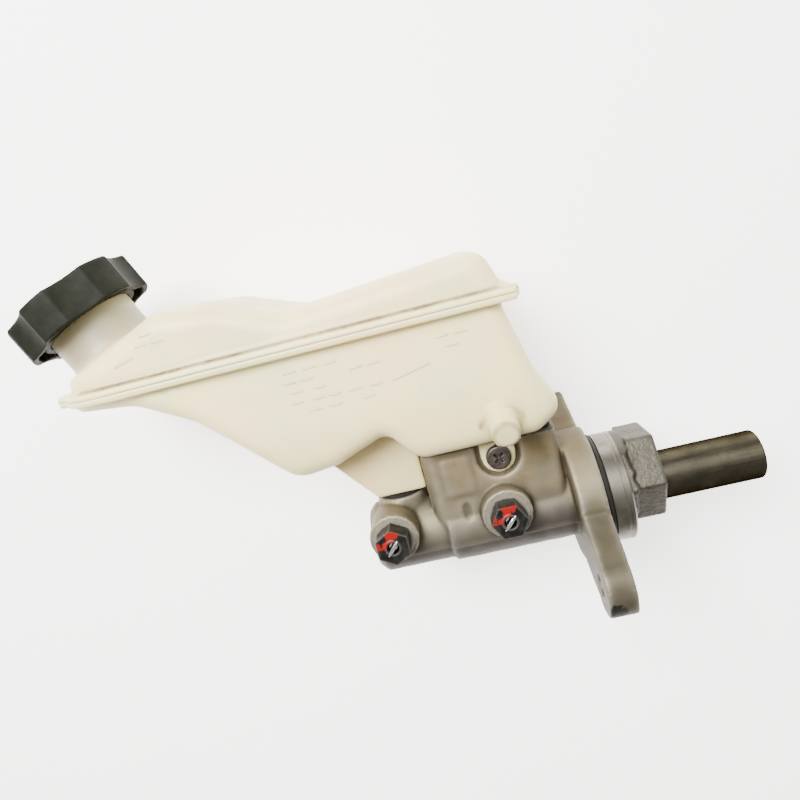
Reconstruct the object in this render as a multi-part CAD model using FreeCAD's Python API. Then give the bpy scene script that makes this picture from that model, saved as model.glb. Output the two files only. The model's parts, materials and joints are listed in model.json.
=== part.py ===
import FreeCAD, Part

import math
import os

# Tandem brake master cylinder with a plunger-type primary piston and a two-shell reservoir.
# Millimetres. +X runs along the bore towards the brake booster, +Z is up, and the origin is on the
# bore's axis at the flange's booster-side face. The outlet ports point towards -Y.

V = FreeCAD.Vector

# Clearances
slide_gap = 0.04        # radial, piston in its bore or guide
spring_gap = 0.6        # radial, spring to what it runs in or round
loose_gap = 0.4         # radial, pieces that move freely past each other
seat_gap = 0.05         # pieces that only stand side by side

# Bore and pistons
bore_r = 10.36
piston_r = bore_r - slide_gap
piston_wall = 3.0
primary_stroke = 28.0
secondary_stroke = 12.0
rod_end_x = 68.2        # plunger's rear end with the brake released
secondary_front_x = -79.0
secondary_rear_x = -53.0
spare_stroke = 1.3      # room left past each piston's full stroke
spring_block = 1.7      # further room for the foot of the captive set
socket_r = 5.5          # push-rod socket in the plunger
socket_depth = 30.0
edge_round = 1.0
tiny = 0.01             # how near an edge lies to the plane it is picked by
over = 1.0              # how far a cutting tool reaches past what it cuts

# Captive set between the pistons
bolt_r = 1.6
bolt_thread = 5.0
bolt_head_r = 3.0
bolt_head_height = 2.2
sleeve_r = 4.4
sleeve_wall = 0.8
sleeve_overlap = 2.0    # how far the sleeve reaches into the primary piston's cavity
primary_cavity = 20.0
secondary_cavity = 14.0
well_depth = 8.0        # room for the bolt's head in the secondary piston
foot_inset = 1.0        # the sleeve's foot is this much smaller than the piston
merge = 0.1             # depth by which joined pieces reach into each other

# Seals in the body, each (front x, width)
seal_depth = 3.0
secondary_pressure_groove = (-80.5, 4.0)
separating_groove = (-72.5, 4.0)
primary_pressure_groove = (-35.5, 4.0)
primary_vacuum_groove = (-26.5, 4.0)
seal_slack = 0.3        # room at each side of a seal in its groove
lip_share = 0.55        # share of a seal's width that its lip recess takes
lip_recess = 0.55       # half the recess's height
secondary_feed = (-76.0, 3.0)
primary_feed = (-30.8, 3.6)
feed_depth = 1.6
feed_hole_r = 1.4
compensating_r = 0.7    # holes behind each piston's front edge
compensating_x = 2.0
compensating_count = 4

# Springs
primary_wire_r = 0.7
primary_turns = 9
secondary_wire_r = 0.9
secondary_turns = 8

# Guide bush and snap ring in the bore's mouth
bush_depth = 2.6
bush_front_x = 4.0
bush_length = 14.0
bush_groove_width = 2.0  # holds the outer seal
bush_groove_depth = 1.0
ring_wire = 1.6
ring_groove_depth = 1.2
ring_width = 3.0
ring_opening = 7.0

# Casting
front_end_x = -97.0
front_barrel_wall = 5.04
barrel_step_x = -64.0
rear_barrel_wall = 6.64
front_chamfer = 3.0
flange_thickness = 11.0
flange_r = 28.0
ear_circle_d = 88.0     # circle through the two flange holes
ear_angle = 32.0        # the ear below the axis points this far below -Y
ear_r = 12.5
ear_waist = 17.0        # half width of the flange's ears where they leave the plate
flange_hole_r = 4.4
ear_root = 0.55         # where an ear's web starts, as a share of the flange's radius
spigot_r = 23.2
spigot_length = 11.2
nose_length = 25.5
nose_wall = 0.3         # metal left between the hexagon's lowest flat and the bush
nose_lift = 4.5         # hexagon's centre above the bore's axis
nose_drop = 0.5         # hexagon's corners are turned this much below the spigot
o_ring_wire = 2.6
o_ring_stand = 0.7      # how far the O-ring stands out of the spigot

# Ports
port_z = 7.0
rear_port_x = -38.7
front_port_x = -86.0
port_stand = 5.5        # a boss's face, out from the rear barrel
port_boss_r = 10.3
port_thread_r = 6.0     # M12 x 1
port_depth = 8.1
port_hole_r = 2.0
nut_flats = 13.0
nut_head = 8.5
nut_thread_length = 5.2
pipe_r = 2.375
pipe_bore_r = 1.6
pipe_stand = 1.2
seat_length = 1.7
seat_taper = 1.0
flare_r = 4.6
pipe_end = 2.0          # closed end of the cut pipe

# Inlet tower and its grommets
tower_front_x = -67.5
tower_rear_x = -12.5
tower_half_width = 15.5
tower_top_z = 36.5
tower_corner_r = 4.0
tower_pocket_x = -58.0  # middle of the core pocket in the tower's front part
tower_pocket_r = 7.0
tower_pocket_depth = 16.0
rear_inlet_x = -27.0
front_inlet_x = -80.8
front_boss_stand = 3.6  # boss's top, above the front barrel
front_boss_wall = 2.6
inlet_r = 9.0           # bore that holds a grommet
front_inlet_r = 8.2
inlet_depth = 9.0
front_inlet_depth = 4.6
grommet_wall = 2.4
grommet_lip = 1.6
grommet_stand = 1.4     # how far the front grommet's lip stands out past its inlet
pad_inset = 1.2         # the rear grommet's pad stays this far inside the tower's outline
spout_wall = 1.8

# Reservoir
wall = 2.4
half_width = 30.0       # outside, across the bore
seam_low_z = 91.0
seam_high_z = 96.0
lug_r = 4.0
front_lug_y = 12.0
seam_stand = 3.2        # how far the welded flange stands out
front_nose_x = -200.0
front_corner_r = 22.0   # corners of the front end, seen from above
front_top_z = 89.5      # top's slope, carried on to the front, meets this height past the nose
hump_front_x = -152.0
hump_rear_x = -128.0
dip_x = -103.0
shelf_x = -171.0        # underside starts to fall towards the sump
notch_x = -77.5
notch_top_z = 51.5
rear_wall_x = -20.5     # upper half, at the seam
lower_rear_x = -23.5    # lower half, at the seam
rear_foot_x = -8.0
block_front_x = -67.0
sump_low_z = 41.5
sump_x = -105.0
duct_front_x = -90.0
duct_rear_x = -69.0
duct_half_width = 9.8
upper_top_z = 110.5
dip_z = 106.5
hump_z = 117.5
edge_r = 7.5
inner_edge_r = edge_r - wall
side_share = 0.48       # most of a side that one rounded corner may take
flat = 0.01             # an edge thinner than this across lies in the outline's plane
spout_length = 7.0
plan_reach = 20.0       # how far the plan block runs past the rear
lug_inset = 8.0         # rear lug's centre, in from the near wall
root_depth = 1.5        # how deep the nipple's root starts inside the wall

# Filler neck and cap
neck_lean = 24.0        # neck leans this far forward from upright
neck_r = 18.5
neck_wall = 2.2
cap_seat_x = -193.3     # centre of the neck's mouth
cap_seat_z = 130.7
neck_length = 38.0
cap_stand = 9.5         # how far a lobe's crest stands out from the neck
cap_scallop = 2.8
cap_lobes = 6
cap_height = 15.5
cap_top = 3.0
cap_skirt_wall = 2.6
cap_thread_wall = 2.6
cap_lobe_half = 13.5    # degrees, half of the angle that a lobe's crest takes
cap_phase = 30.0
cap_ribs = 12
rib_width = 1.2
rib_rise = 2.0          # ribs start this far above the skirt's lower edge
gasket_thickness = 2.0
gasket_dome_r = 11.0
gasket_dome = 3.0
gasket_skin = 1.2

# Strainer, float and sensor
strainer_depth = 22.0
strainer_wall = 1.4
strainer_taper = 1.5
strainer_slots = 8
strainer_rim = 2.0
strainer_step = 0.4     # basket is this much thinner than its rim
slot_width = 4.0
slot_share = 0.55       # a slot's height as a share of the basket's depth
slot_low = 0.85         # its lower end, as a share of the depth below the mouth
floor_hole_r = 1.6
float_x = -107.0
float_r = 8.0
float_height = 10.0
float_rest_z = 52.0
float_travel = 24.0
float_guide_r = 2.2
magnet_r = 6.0
magnet_height = 3.0
magnet_wall = 1.2       # float left between the magnet and the guide
magnet_depth = 0.2      # magnet's face below the float's top
sensor_r = 4.0
sensor_reach = 16.0     # how far the sensor goes into the reservoir
sensor_x = -127.0
sensor_z = 70.0
sensor_head = 16.0      # square head outside the wall
sensor_head_height = 6.0
connector_width = 12.0
connector_length = 13.0
connector_wall = 1.4
connector_step = 2.0    # shroud is this much deeper than the head
pin_size = 0.8
pin_pitch = 4.8

# Tab, screw and nipple
tab_x = -37.0
tab_z = 29.8
tab_r = 7.0
tab_thickness = 3.0
tab_seat_y = -13.5      # floor of the recess that the tab stands on
tab_room = 2.0          # recess round the tab
screw_r = 2.0
screw_head_r = 5.1
screw_head_height = 2.6
screw_depth = 7.0       # hole in the tower
screw_thread = 10.0
recess_length = 5.0     # screw's cross recess
recess_width = 1.0
recess_depth = 1.7
nipple_x = -32.8
nipple_z = 49.0
nipple_fall = 18.0      # nipple points this far below level
nipple_r = 5.6
nipple_root_r = 7.3
nipple_length = 15.0
nipple_collar = 6.75    # length of its thicker root
nipple_step = 0.4

# Places that follow from the sizes above
room = 200.0            # side of a block larger than any part of the reservoir
bore_end_x = secondary_front_x - secondary_stroke - spare_stroke     # blind front end of the bore
primary_front_x = secondary_rear_x + primary_stroke - secondary_stroke + spare_stroke + spring_block
primary_cavity_x = primary_front_x + primary_cavity
secondary_cavity_x = secondary_front_x + secondary_cavity
sleeve_mouth_x = primary_front_x + sleeve_overlap
front_barrel_r = bore_r + front_barrel_wall
rear_barrel_r = bore_r + rear_barrel_wall
front_boss_top_z = front_barrel_r + front_boss_stand
port_face_y = -rear_barrel_r - port_stand
nose_flat_r = nose_lift + bore_r + bush_depth + nose_wall
nose_corner_r = nose_flat_r / math.cos(math.radians(30.0))
seam_mid_z = (seam_low_z + seam_high_z) / 2.0
cap_r = neck_r + cap_stand
block_low_z = tower_top_z + grommet_lip + seat_gap


def cylinder(radius, x0, x1, y=0.0, z=0.0):
    """Round bar along X from x0 to x1."""
    return Part.makeCylinder(radius, x1 - x0, V(x0, y, z), V(1, 0, 0))


def ring(outer, inner, x0, x1):
    return cylinder(outer, x0, x1).cut(cylinder(inner, x0 - over, x1 + over))


def post(radius, x, y, z0, z1):
    """Round bar along Z from z0 to z1."""
    return Part.makeCylinder(radius, z1 - z0, V(x, y, z0), V(0, 0, 1))


def prism(corners, origin, direction):
    """Solid of the closed outline through corners, swept along direction."""
    points = [V(*c) for c in corners]
    face = Part.Face(Part.makePolygon(points + points[:1]))
    solid = face.extrude(direction)
    solid.translate(origin)
    return solid


def hexagon(flats, start, axis_turn, length):
    """Hexagonal bar along -Y from start, turned about its own axis."""
    corner = flats / math.sqrt(3.0)
    angles = [math.radians(axis_turn + 60.0 * i) for i in range(6)]
    corners = [(corner * math.cos(a), 0, corner * math.sin(a)) for a in angles]
    return prism(corners, start, V(0, -length, 0))


def rounded_outline(corners):
    """Closed wire in the XZ plane: each corner is (x, z, radius) and is rounded by an arc."""
    count = len(corners)
    arcs = []
    for i, (x, z, radius) in enumerate(corners):
        here = V(x, 0, z)
        to_last = V(corners[i - 1][0], 0, corners[i - 1][1]).sub(here)
        to_next = V(corners[(i + 1) % count][0], 0, corners[(i + 1) % count][1]).sub(here)
        half = to_last.getAngle(to_next) / 2.0
        back = min(radius / math.tan(half), side_share * to_last.Length, side_share * to_next.Length)
        to_last.normalize()
        to_next.normalize()
        bisector = to_last.add(to_next).normalize()
        fitted = back * math.tan(half)
        middle = here.add(bisector.multiply(fitted / math.sin(half) - fitted))
        arcs.append((here.add(to_last.multiply(back)), middle, here.add(to_next.multiply(back))))
    edges = []
    for i, (start, middle, end) in enumerate(arcs):
        edges.append(Part.Arc(start, middle, end).toShape())
        edges.append(Part.LineSegment(end, arcs[(i + 1) % count][0]).toShape())
    return Part.Wire(edges)


def slab(outline, half, inset, round_r):
    """Outline shrunk by inset and swept across the reservoir, with its long edges rounded."""
    wire = outline.makeOffset2D(-inset) if inset else outline
    solid = Part.Face(wire).extrude(V(0, 2.0 * (half - inset), 0))
    solid.translate(V(0, inset - half, 0))
    rims = []
    for edge in solid.Edges:
        box = edge.BoundBox
        if box.YLength < flat:
            rims.append(edge)
    return solid.makeFillet(round_r, rims)


def plan(inset, z0, z1):
    """Reservoir's outline from above, with a rounded front end, as a block from z0 to z1."""
    x0 = front_nose_x + inset
    x1 = rear_foot_x + plan_reach
    block = Part.makeBox(x1 - x0, 2.0 * (half_width - inset), z1 - z0, V(x0, inset - half_width, z0))
    corners = [e for e in block.Edges if e.BoundBox.ZLength > 1.0 and e.BoundBox.XMax < x0 + 1.0]
    return block.makeFillet(front_corner_r - inset, corners)


neck_axis = V(-math.sin(math.radians(neck_lean)), 0, math.cos(math.radians(neck_lean)))
neck_mouth = V(cap_seat_x, 0, cap_seat_z)


def on_neck(along, radius, length):
    """Round bar on the neck's axis, starting this far above the neck's mouth."""
    start = neck_mouth.add(V(neck_axis).multiply(along))
    return Part.makeCylinder(radius, length, start, neck_axis)


def groove(front_x, width, depth):
    return cylinder(bore_r + depth, front_x, front_x + width)


def port_axis(port_x, radius, y0, y1):
    return Part.makeCylinder(radius, y1 - y0, V(port_x, y0, port_z), V(0, 1, 0))


def flange():
    plate = cylinder(flange_r, -flange_thickness, 0)
    down = math.radians(ear_angle)
    across = V(0, math.sin(down), -math.cos(down))
    for side in (-1, 1):
        way = V(0, side * math.cos(down), side * math.sin(down))
        tip = V(way).multiply(ear_circle_d / 2.0)
        spine = Part.makeCylinder(ear_r, flange_thickness, V(-flange_thickness, tip.y, tip.z), V(1, 0, 0))
        near = V(way).multiply(flange_r * ear_root)
        corners = []
        for foot, width in ((near, ear_waist), (tip, ear_r)):
            for turn in (1, -1):
                point = foot.add(V(across).multiply(width * turn))
                corners.append((0, point.y, point.z))
        loop = [corners[0], corners[1], corners[3], corners[2]]
        web = prism(loop, V(-flange_thickness, 0, 0), V(flange_thickness, 0, 0))
        plate = plate.fuse([spine, web])
    for side in (-1, 1):
        y = side * math.cos(down) * ear_circle_d / 2.0
        z = side * math.sin(down) * ear_circle_d / 2.0
        plate = plate.cut(cylinder(flange_hole_r, -flange_thickness - over, over, y, z))
    return plate.removeSplitter()


def nose():
    corners = []
    for i in range(6):
        a = math.radians(60.0 * i)
        corners.append((0, nose_corner_r * math.cos(a), nose_lift + nose_corner_r * math.sin(a)))
    root_x = spigot_length - 2.0 * edge_round
    bar = prism(corners, V(root_x, 0, 0), V(nose_length - root_x, 0, 0))
    ends = [e for e in bar.Edges if e.BoundBox.XMin > nose_length - tiny]
    bar = bar.makeChamfer(edge_round, ends)
    return bar.common(cylinder(spigot_r - nose_drop, root_x, nose_length))


def tower():
    width = 2.0 * tower_half_width
    block = Part.makeBox(
        tower_rear_x - tower_front_x, width, tower_top_z, V(tower_front_x, -tower_half_width, 0)
    )
    uprights = [e for e in block.Edges if e.BoundBox.ZLength > 1.0]
    block = block.makeFillet(tower_corner_r, uprights)
    floor_z = tower_top_z - tower_pocket_depth
    pocket = post(tower_pocket_r, tower_pocket_x, 0, floor_z, tower_top_z + over)
    return block.cut(pocket)


def cylinder_body():
    front = cylinder(front_barrel_r, front_end_x, barrel_step_x + over)
    rim = [e for e in front.Edges if e.BoundBox.XMax < front_end_x + tiny]
    front = front.makeChamfer(front_chamfer, rim)
    rear = cylinder(rear_barrel_r, barrel_step_x, over - flange_thickness)
    spigot = cylinder(spigot_r, -over, spigot_length)
    rim = [e for e in spigot.Edges if e.BoundBox.XMin > spigot_length - tiny]
    spigot = spigot.makeChamfer(edge_round, rim)
    front_boss = post(front_inlet_r + front_boss_wall, front_inlet_x, 0, 0, front_boss_top_z)
    body = front.fuse([rear, spigot, flange(), nose(), tower(), front_boss])
    for port_x in (rear_port_x, front_port_x):
        body = body.fuse(port_axis(port_x, port_boss_r, port_face_y, 0))
    body = body.removeSplitter()
    cuts = [cylinder(bore_r, bore_end_x, nose_length + over)]
    for front_x, width in (
        secondary_pressure_groove, separating_groove, primary_pressure_groove, primary_vacuum_groove
    ):
        cuts.append(groove(front_x, width, seal_depth))
    for front_x, width in (secondary_feed, primary_feed):
        cuts.append(groove(front_x, width, feed_depth))
    cuts.append(cylinder(bore_r + bush_depth, bush_front_x, nose_length + over))
    ring_x = bush_front_x + bush_length + seat_gap
    ring_groove_r = bore_r + bush_depth + ring_groove_depth
    cuts.append(cylinder(ring_groove_r, ring_x, ring_x + ring_wire + seat_gap))
    cuts.append(ring(spigot_r + over, spigot_r + o_ring_stand - o_ring_wire, 0, o_ring_wire + seat_gap))
    for port_x in (rear_port_x, front_port_x):
        cuts.append(port_axis(port_x, port_thread_r, port_face_y - over, port_face_y + port_depth))
        cuts.append(port_axis(port_x, port_hole_r, port_face_y, 0))
    rear_floor = tower_top_z - inlet_depth
    front_floor = front_boss_top_z - front_inlet_depth
    cuts.append(post(inlet_r, rear_inlet_x, 0, rear_floor, tower_top_z + over))
    cuts.append(post(front_inlet_r, front_inlet_x, 0, front_floor, front_boss_top_z + over))
    feeds = ((primary_feed, rear_floor), (secondary_feed, front_floor))
    for (front_x, width), floor_z in feeds:
        cuts.append(post(feed_hole_r, front_x + width / 2.0, 0, bore_r, floor_z + over))
    tapping = V(tab_x, tab_seat_y - over, tab_z)
    cuts.append(Part.makeCylinder(screw_r, screw_depth + over, tapping, V(0, 1, 0)))
    recess_r = tab_r + tab_room
    deep = tower_half_width + tab_seat_y + over
    recess = Part.makeCylinder(recess_r, deep, V(tab_x, tab_seat_y, tab_z), V(0, -1, 0))
    above = Part.makeBox(2.0 * recess_r, deep, tower_top_z, V(tab_x - recess_r, tab_seat_y - deep, tab_z))
    cuts.append(recess.fuse(above))
    for cut in cuts:
        body = body.cut(cut)
    return body


def bore_seal(front_x, width):
    """Cup seal in a body groove: a ring with a lip recess in its front face."""
    x0 = front_x + seal_slack
    x1 = front_x + width - seal_slack
    outer = bore_r + seal_depth - seat_gap
    inner = piston_r + slide_gap
    seal = ring(outer, inner, x0, x1)
    middle = (outer + inner) / 2.0
    return seal.cut(ring(middle + lip_recess, middle - lip_recess, x0 - over, x0 + (x1 - x0) * lip_share))


def guide_bush():
    outer = bore_r + bush_depth - seat_gap
    bush = ring(outer, piston_r + slide_gap, bush_front_x + seat_gap, bush_front_x + bush_length)
    return bush.cut(groove(bush_front_x + bush_length / 2.0, bush_groove_width, bush_groove_depth))


def snap_ring():
    x0 = bush_front_x + bush_length + 2.0 * seat_gap
    outer = bore_r + bush_depth + ring_groove_depth - seat_gap
    hoop = ring(outer, outer - ring_width, x0, x0 + ring_wire - seat_gap)
    corner = V(x0 - over, -ring_opening / 2.0, 0)
    gap = Part.makeBox(ring_wire + 2.0 * over, ring_opening, 2.0 * outer, corner)
    return hoop.cut(gap)


def primary_piston():
    rod = cylinder(piston_r, primary_front_x, rod_end_x)
    rod = rod.makeFillet(edge_round, [e for e in rod.Edges if e.BoundBox.XMin > rod_end_x - tiny])
    cavity = cylinder(piston_r - piston_wall, primary_front_x - over, primary_cavity_x)
    socket = cylinder(socket_r, rod_end_x - socket_depth, rod_end_x + over)
    thread_end_x = primary_cavity_x + bolt_thread + seat_gap
    thread = cylinder(bolt_r + seat_gap, primary_cavity_x - over, thread_end_x)
    return rod.cut([cavity, socket, thread, feed_holes(primary_front_x)])


def feed_holes(front_x):
    """Compensating holes just behind a piston's front edge."""
    holes = []
    for i in range(compensating_count):
        a = 2.0 * math.pi * (i + 0.5) / compensating_count
        way = V(0, math.cos(a), math.sin(a))
        start = V(front_x + compensating_x, 0, 0)
        holes.append(Part.makeCylinder(compensating_r, piston_r + over, start, way))
    return holes[0].fuse(holes[1:])


def captive_bolt():
    """Bolt screwed into the primary piston; its head pulls on the sleeve's mouth."""
    head_x = sleeve_mouth_x - sleeve_wall - bolt_head_height
    shank = cylinder(bolt_r, head_x, primary_cavity_x + bolt_thread)
    return shank.fuse(cylinder(bolt_head_r, head_x, sleeve_mouth_x - sleeve_wall - seat_gap))


def spring_sleeve():
    """Thimble that stands on the secondary piston's rear face."""
    tube = ring(sleeve_r, sleeve_r - sleeve_wall, secondary_rear_x, sleeve_mouth_x)
    mouth = ring(sleeve_r - merge, bolt_r + loose_gap, sleeve_mouth_x - sleeve_wall, sleeve_mouth_x)
    foot = ring(piston_r - foot_inset, sleeve_r - merge, secondary_rear_x, secondary_rear_x + sleeve_wall)
    return tube.fuse([mouth, foot])


def secondary_piston():
    bar = cylinder(piston_r, secondary_front_x, secondary_rear_x)
    cavity = cylinder(piston_r - piston_wall, secondary_front_x - over, secondary_cavity_x)
    well = cylinder(sleeve_r - sleeve_wall, secondary_rear_x - well_depth, secondary_rear_x + over)
    return bar.cut([cavity, well, feed_holes(secondary_front_x)])


def coil_spring(x0, x1, mean_r, wire_r, turns):
    """Compression spring: the helix of round wire along X between two seats."""
    pitch = (x1 - x0 - 2.0 * wire_r) / turns
    helix = Part.makeHelix(pitch, pitch * turns, mean_r)
    climb = pitch / (2.0 * math.pi * mean_r)
    start = Part.Wire(Part.makeCircle(wire_r, V(mean_r, 0, 0), V(0, 1, climb)))
    spring = Part.Wire(helix).makePipeShell([start], True, True)
    spring.rotate(V(0, 0, 0), V(0, 1, 0), 90.0)
    spring.translate(V(x0 + wire_r, 0, 0))
    return spring


def primary_spring():
    mean_r = (sleeve_r + piston_r - piston_wall) / 2.0
    x0 = secondary_rear_x + sleeve_wall + seat_gap
    return coil_spring(x0, primary_cavity_x - seat_gap, mean_r, primary_wire_r, primary_turns)


def secondary_spring():
    mean_r = piston_r - piston_wall - secondary_wire_r - spring_gap
    x1 = secondary_cavity_x - seat_gap
    return coil_spring(bore_end_x + seat_gap, x1, mean_r, secondary_wire_r, secondary_turns)


def flange_seal():
    """O-ring at the root of the spigot."""
    wire_r = o_ring_wire / 2.0
    centre_r = spigot_r + o_ring_stand - wire_r
    return Part.makeTorus(centre_r, wire_r - seat_gap, V(wire_r + seat_gap / 2.0, 0, 0), V(1, 0, 0))


def tube_nut(port_x, turn):
    start = V(port_x, port_face_y - seat_gap, port_z)
    head = hexagon(nut_flats, start, turn, nut_head)
    thread_end_y = port_face_y + nut_thread_length
    thread = port_axis(port_x, port_thread_r - seat_gap, port_face_y - over, thread_end_y)
    hole = port_axis(port_x, pipe_r + seat_gap, port_face_y - nut_head - over, thread_end_y + over)
    return head.fuse(thread).cut(hole)


def flare_seat(port_x):
    """Conical seat pressed against the port's floor."""
    floor_y = port_face_y + port_depth
    base = port_thread_r - seat_gap
    start = V(port_x, floor_y - seat_gap, port_z)
    cone = Part.makeCone(base, base - seat_taper, seat_length, start, V(0, -1, 0))
    return cone.cut(port_axis(port_x, port_hole_r, port_face_y, floor_y + over))


def pipe_stub(port_x):
    """End of a brake pipe: flared inside the port, cut off just outside the nut."""
    flare_y = port_face_y + port_depth - seat_length - 2.0 * seat_gap
    tip_y = port_face_y - nut_head - pipe_stand
    pipe = port_axis(port_x, pipe_r, tip_y, flare_y)
    flare = port_axis(port_x, flare_r, port_face_y + nut_thread_length + seat_gap, flare_y)
    return pipe.fuse(flare).cut(port_axis(port_x, pipe_bore_r, tip_y + pipe_end, flare_y + over))


def grommet(x, top_z, radius, depth, lip):
    """Rubber bush in an inlet, with a lip on top that the reservoir stands on."""
    body = post(radius - seat_gap, x, 0, top_z - depth + seat_gap, top_z + grommet_lip)
    hole = post(radius - grommet_wall, x, 0, top_z - depth - over, top_z + grommet_lip + over)
    return body.fuse(lip).cut(hole)


def rear_grommet():
    """Its lip is a pad that fills the gap between the tower and the reservoir."""
    length = tower_rear_x - tower_front_x - 2.0 * pad_inset
    width = 2.0 * (tower_half_width - pad_inset)
    start = V(tower_front_x + pad_inset, pad_inset - tower_half_width, tower_top_z + seat_gap)
    pad = Part.makeBox(length, width, grommet_lip - seat_gap, start)
    pad = pad.makeFillet(tower_corner_r - pad_inset, [e for e in pad.Edges if e.BoundBox.ZLength > 1.0])
    half = tab_r + loose_gap
    deep = tower_half_width + tab_seat_y + seat_gap
    corner = V(tab_x - half, -tower_half_width, tower_top_z)
    notch = Part.makeBox(2.0 * half, deep, grommet_lip + over, corner)
    return grommet(rear_inlet_x, tower_top_z, inlet_r, inlet_depth, pad.cut(notch))


def front_grommet():
    lip_z = front_boss_top_z + seat_gap
    lip = post(front_inlet_r + grommet_stand, front_inlet_x, 0, lip_z, front_boss_top_z + grommet_lip)
    return grommet(front_inlet_x, front_boss_top_z, front_inlet_r, front_inlet_depth, lip)


def lower_outline():
    return rounded_outline([
        (front_nose_x - 25.0, seam_high_z + 30.0, 9.0),
        (front_nose_x - 25.0, seam_low_z + 1.0, 9.0),
        (shelf_x, seam_low_z - 5.0, 20.0),
        (shelf_x + 22.0, seam_low_z - 17.0, 30.0),
        (sump_x - 11.0, sump_low_z, 12.0),
        (sump_x + 6.0, sump_low_z + 2.0, 12.0),
        (notch_x, notch_top_z, 5.0),
        (block_front_x, block_low_z, 9.0),
        (rear_foot_x - 12.0, block_low_z, 9.0),
        (rear_foot_x, block_low_z + 8.4, 9.0),
        (rear_foot_x - 8.5, block_low_z + 24.0, 9.0),
        (lower_rear_x, seam_low_z, 9.0),
        (lower_rear_x, seam_high_z + 30.0, 9.0),
    ])


def upper_outline():
    return rounded_outline([
        (front_nose_x - 25.0, seam_low_z - 30.0, 9.0),
        (front_nose_x - 25.0, front_top_z, 9.0),
        (hump_front_x, hump_z + 1.5, 12.0),
        (hump_rear_x, hump_z - 1.0, 14.0),
        (dip_x, dip_z, 16.0),
        (rear_wall_x - 6.5, upper_top_z + 1.5, 9.0),
        (rear_wall_x, seam_high_z - 2.0, 9.0),
        (rear_wall_x, seam_low_z - 30.0, 9.0),
    ])


def seam_plate(z0, z1):
    """Welded flange's outline, standing out from the shells all round."""
    stand = -seam_stand
    plate = plan(stand, z0, z1)
    plate = plate.cut(Part.makeBox(room, room, room, V(rear_wall_x + seam_stand, -room / 2.0, 0)))
    lugs = [
        post(lug_r, front_nose_x - lug_r, -front_lug_y, z0, z1),
        Part.makeBox(3.0 * lug_r, 2.0 * lug_r, z1 - z0, V(front_nose_x - lug_r, -front_lug_y - lug_r, z0)),
        post(lug_r, rear_wall_x + over, lug_inset - half_width, z0, z1),
    ]
    return plate.fuse(lugs)


def half_shell(outline, z0, z1):
    """Hollow shell between two heights, and its solid outside and inside."""
    outside = slab(outline, half_width, 0.0, edge_r).common(plan(0.0, z0, z1))
    inside = slab(outline, half_width, wall, inner_edge_r).common(plan(wall, z0 - over, z1 + over))
    return outside, inside


def duct(inset):
    """Passage from the sump down to the front inlet."""
    low = front_boss_top_z + grommet_lip + seat_gap + inset
    corners = [
        (sump_x - 2.0 + inset, 0, notch_top_z - 4.0),
        (sump_x - 2.0 + inset, 0, sump_low_z + inset),
        (duct_front_x + inset, 0, low),
        (duct_rear_x - inset, 0, low),
        (duct_rear_x - inset, 0, notch_top_z + 6.0),
        (duct_front_x, 0, notch_top_z + 6.0),
    ]
    half = duct_half_width - inset
    return prism(corners, V(0, -half, 0), V(0, 2.0 * half, 0))


def spout(x, inlet_radius, bottom_z, top_z):
    """Tube of the reservoir that pushes into a grommet, as its solid and its bore."""
    radius = inlet_radius - grommet_wall - seat_gap
    bore = post(radius - spout_wall, x, 0, bottom_z - over, top_z + wall)
    return post(radius, x, 0, bottom_z, top_z), bore


def fixing_tab():
    face_y = tab_seat_y - seat_gap
    tab = Part.makeCylinder(tab_r, tab_thickness, V(tab_x, face_y - tab_thickness, tab_z), V(0, 1, 0))
    height = block_low_z + wall - tab_z
    corner = V(tab_x - tab_r, face_y - tab_thickness, tab_z)
    hanger = Part.makeBox(2.0 * tab_r, tab_thickness, height, corner)
    return tab.fuse(hanger)


def clutch_nipple():
    """Blanked nipple on the near wall, pointing out and a little down."""
    fall = math.radians(nipple_fall)
    way = V(0, -math.cos(fall), -math.sin(fall))
    root = V(nipple_x, wall - half_width + root_depth, nipple_z)
    collar = Part.makeCone(nipple_root_r, nipple_r + nipple_step, nipple_collar, root, way)
    return collar.fuse(Part.makeCylinder(nipple_r, nipple_length, root, way))


def reservoir_lower():
    outside, inside = half_shell(lower_outline(), 0.0, seam_mid_z)
    rear_spout, rear_bore = spout(rear_inlet_x, inlet_r, tower_top_z - spout_length, block_low_z + wall)
    front_floor = front_boss_top_z - front_inlet_depth + 2.0 * seat_gap
    front_top = front_boss_top_z + grommet_lip + wall
    front_spout, front_bore = spout(front_inlet_x, front_inlet_r, front_floor, front_top)
    sensor_pocket = Part.makeCylinder(
        sensor_r + wall, sensor_reach + wall, V(sensor_x, half_width, sensor_z), V(0, -1, 0)
    )
    sensor_hole = Part.makeCylinder(
        sensor_r + seat_gap, sensor_reach + loose_gap, V(sensor_x, half_width + merge, sensor_z), V(0, -1, 0)
    )
    guide_top = float_rest_z + float_travel + float_height + over
    guide = post(float_guide_r, float_x, 0, sump_low_z + wall / 2.0, guide_top)
    shell = outside.fuse([seam_plate(seam_low_z, seam_mid_z), duct(0.0), rear_spout, front_spout])
    shell = shell.fuse([fixing_tab(), clutch_nipple()])
    shell = shell.cut(inside).cut(duct(wall))
    shell = shell.fuse([guide, sensor_pocket])
    start = V(tab_x, tab_seat_y - tab_thickness - over, tab_z)
    screw_hole = Part.makeCylinder(screw_r + loose_gap / 2.0, tab_thickness + 2.0 * over, start, V(0, 1, 0))
    for cut in (rear_bore, front_bore, sensor_hole, screw_hole):
        shell = shell.cut(cut)
    return shell.removeSplitter()


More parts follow.
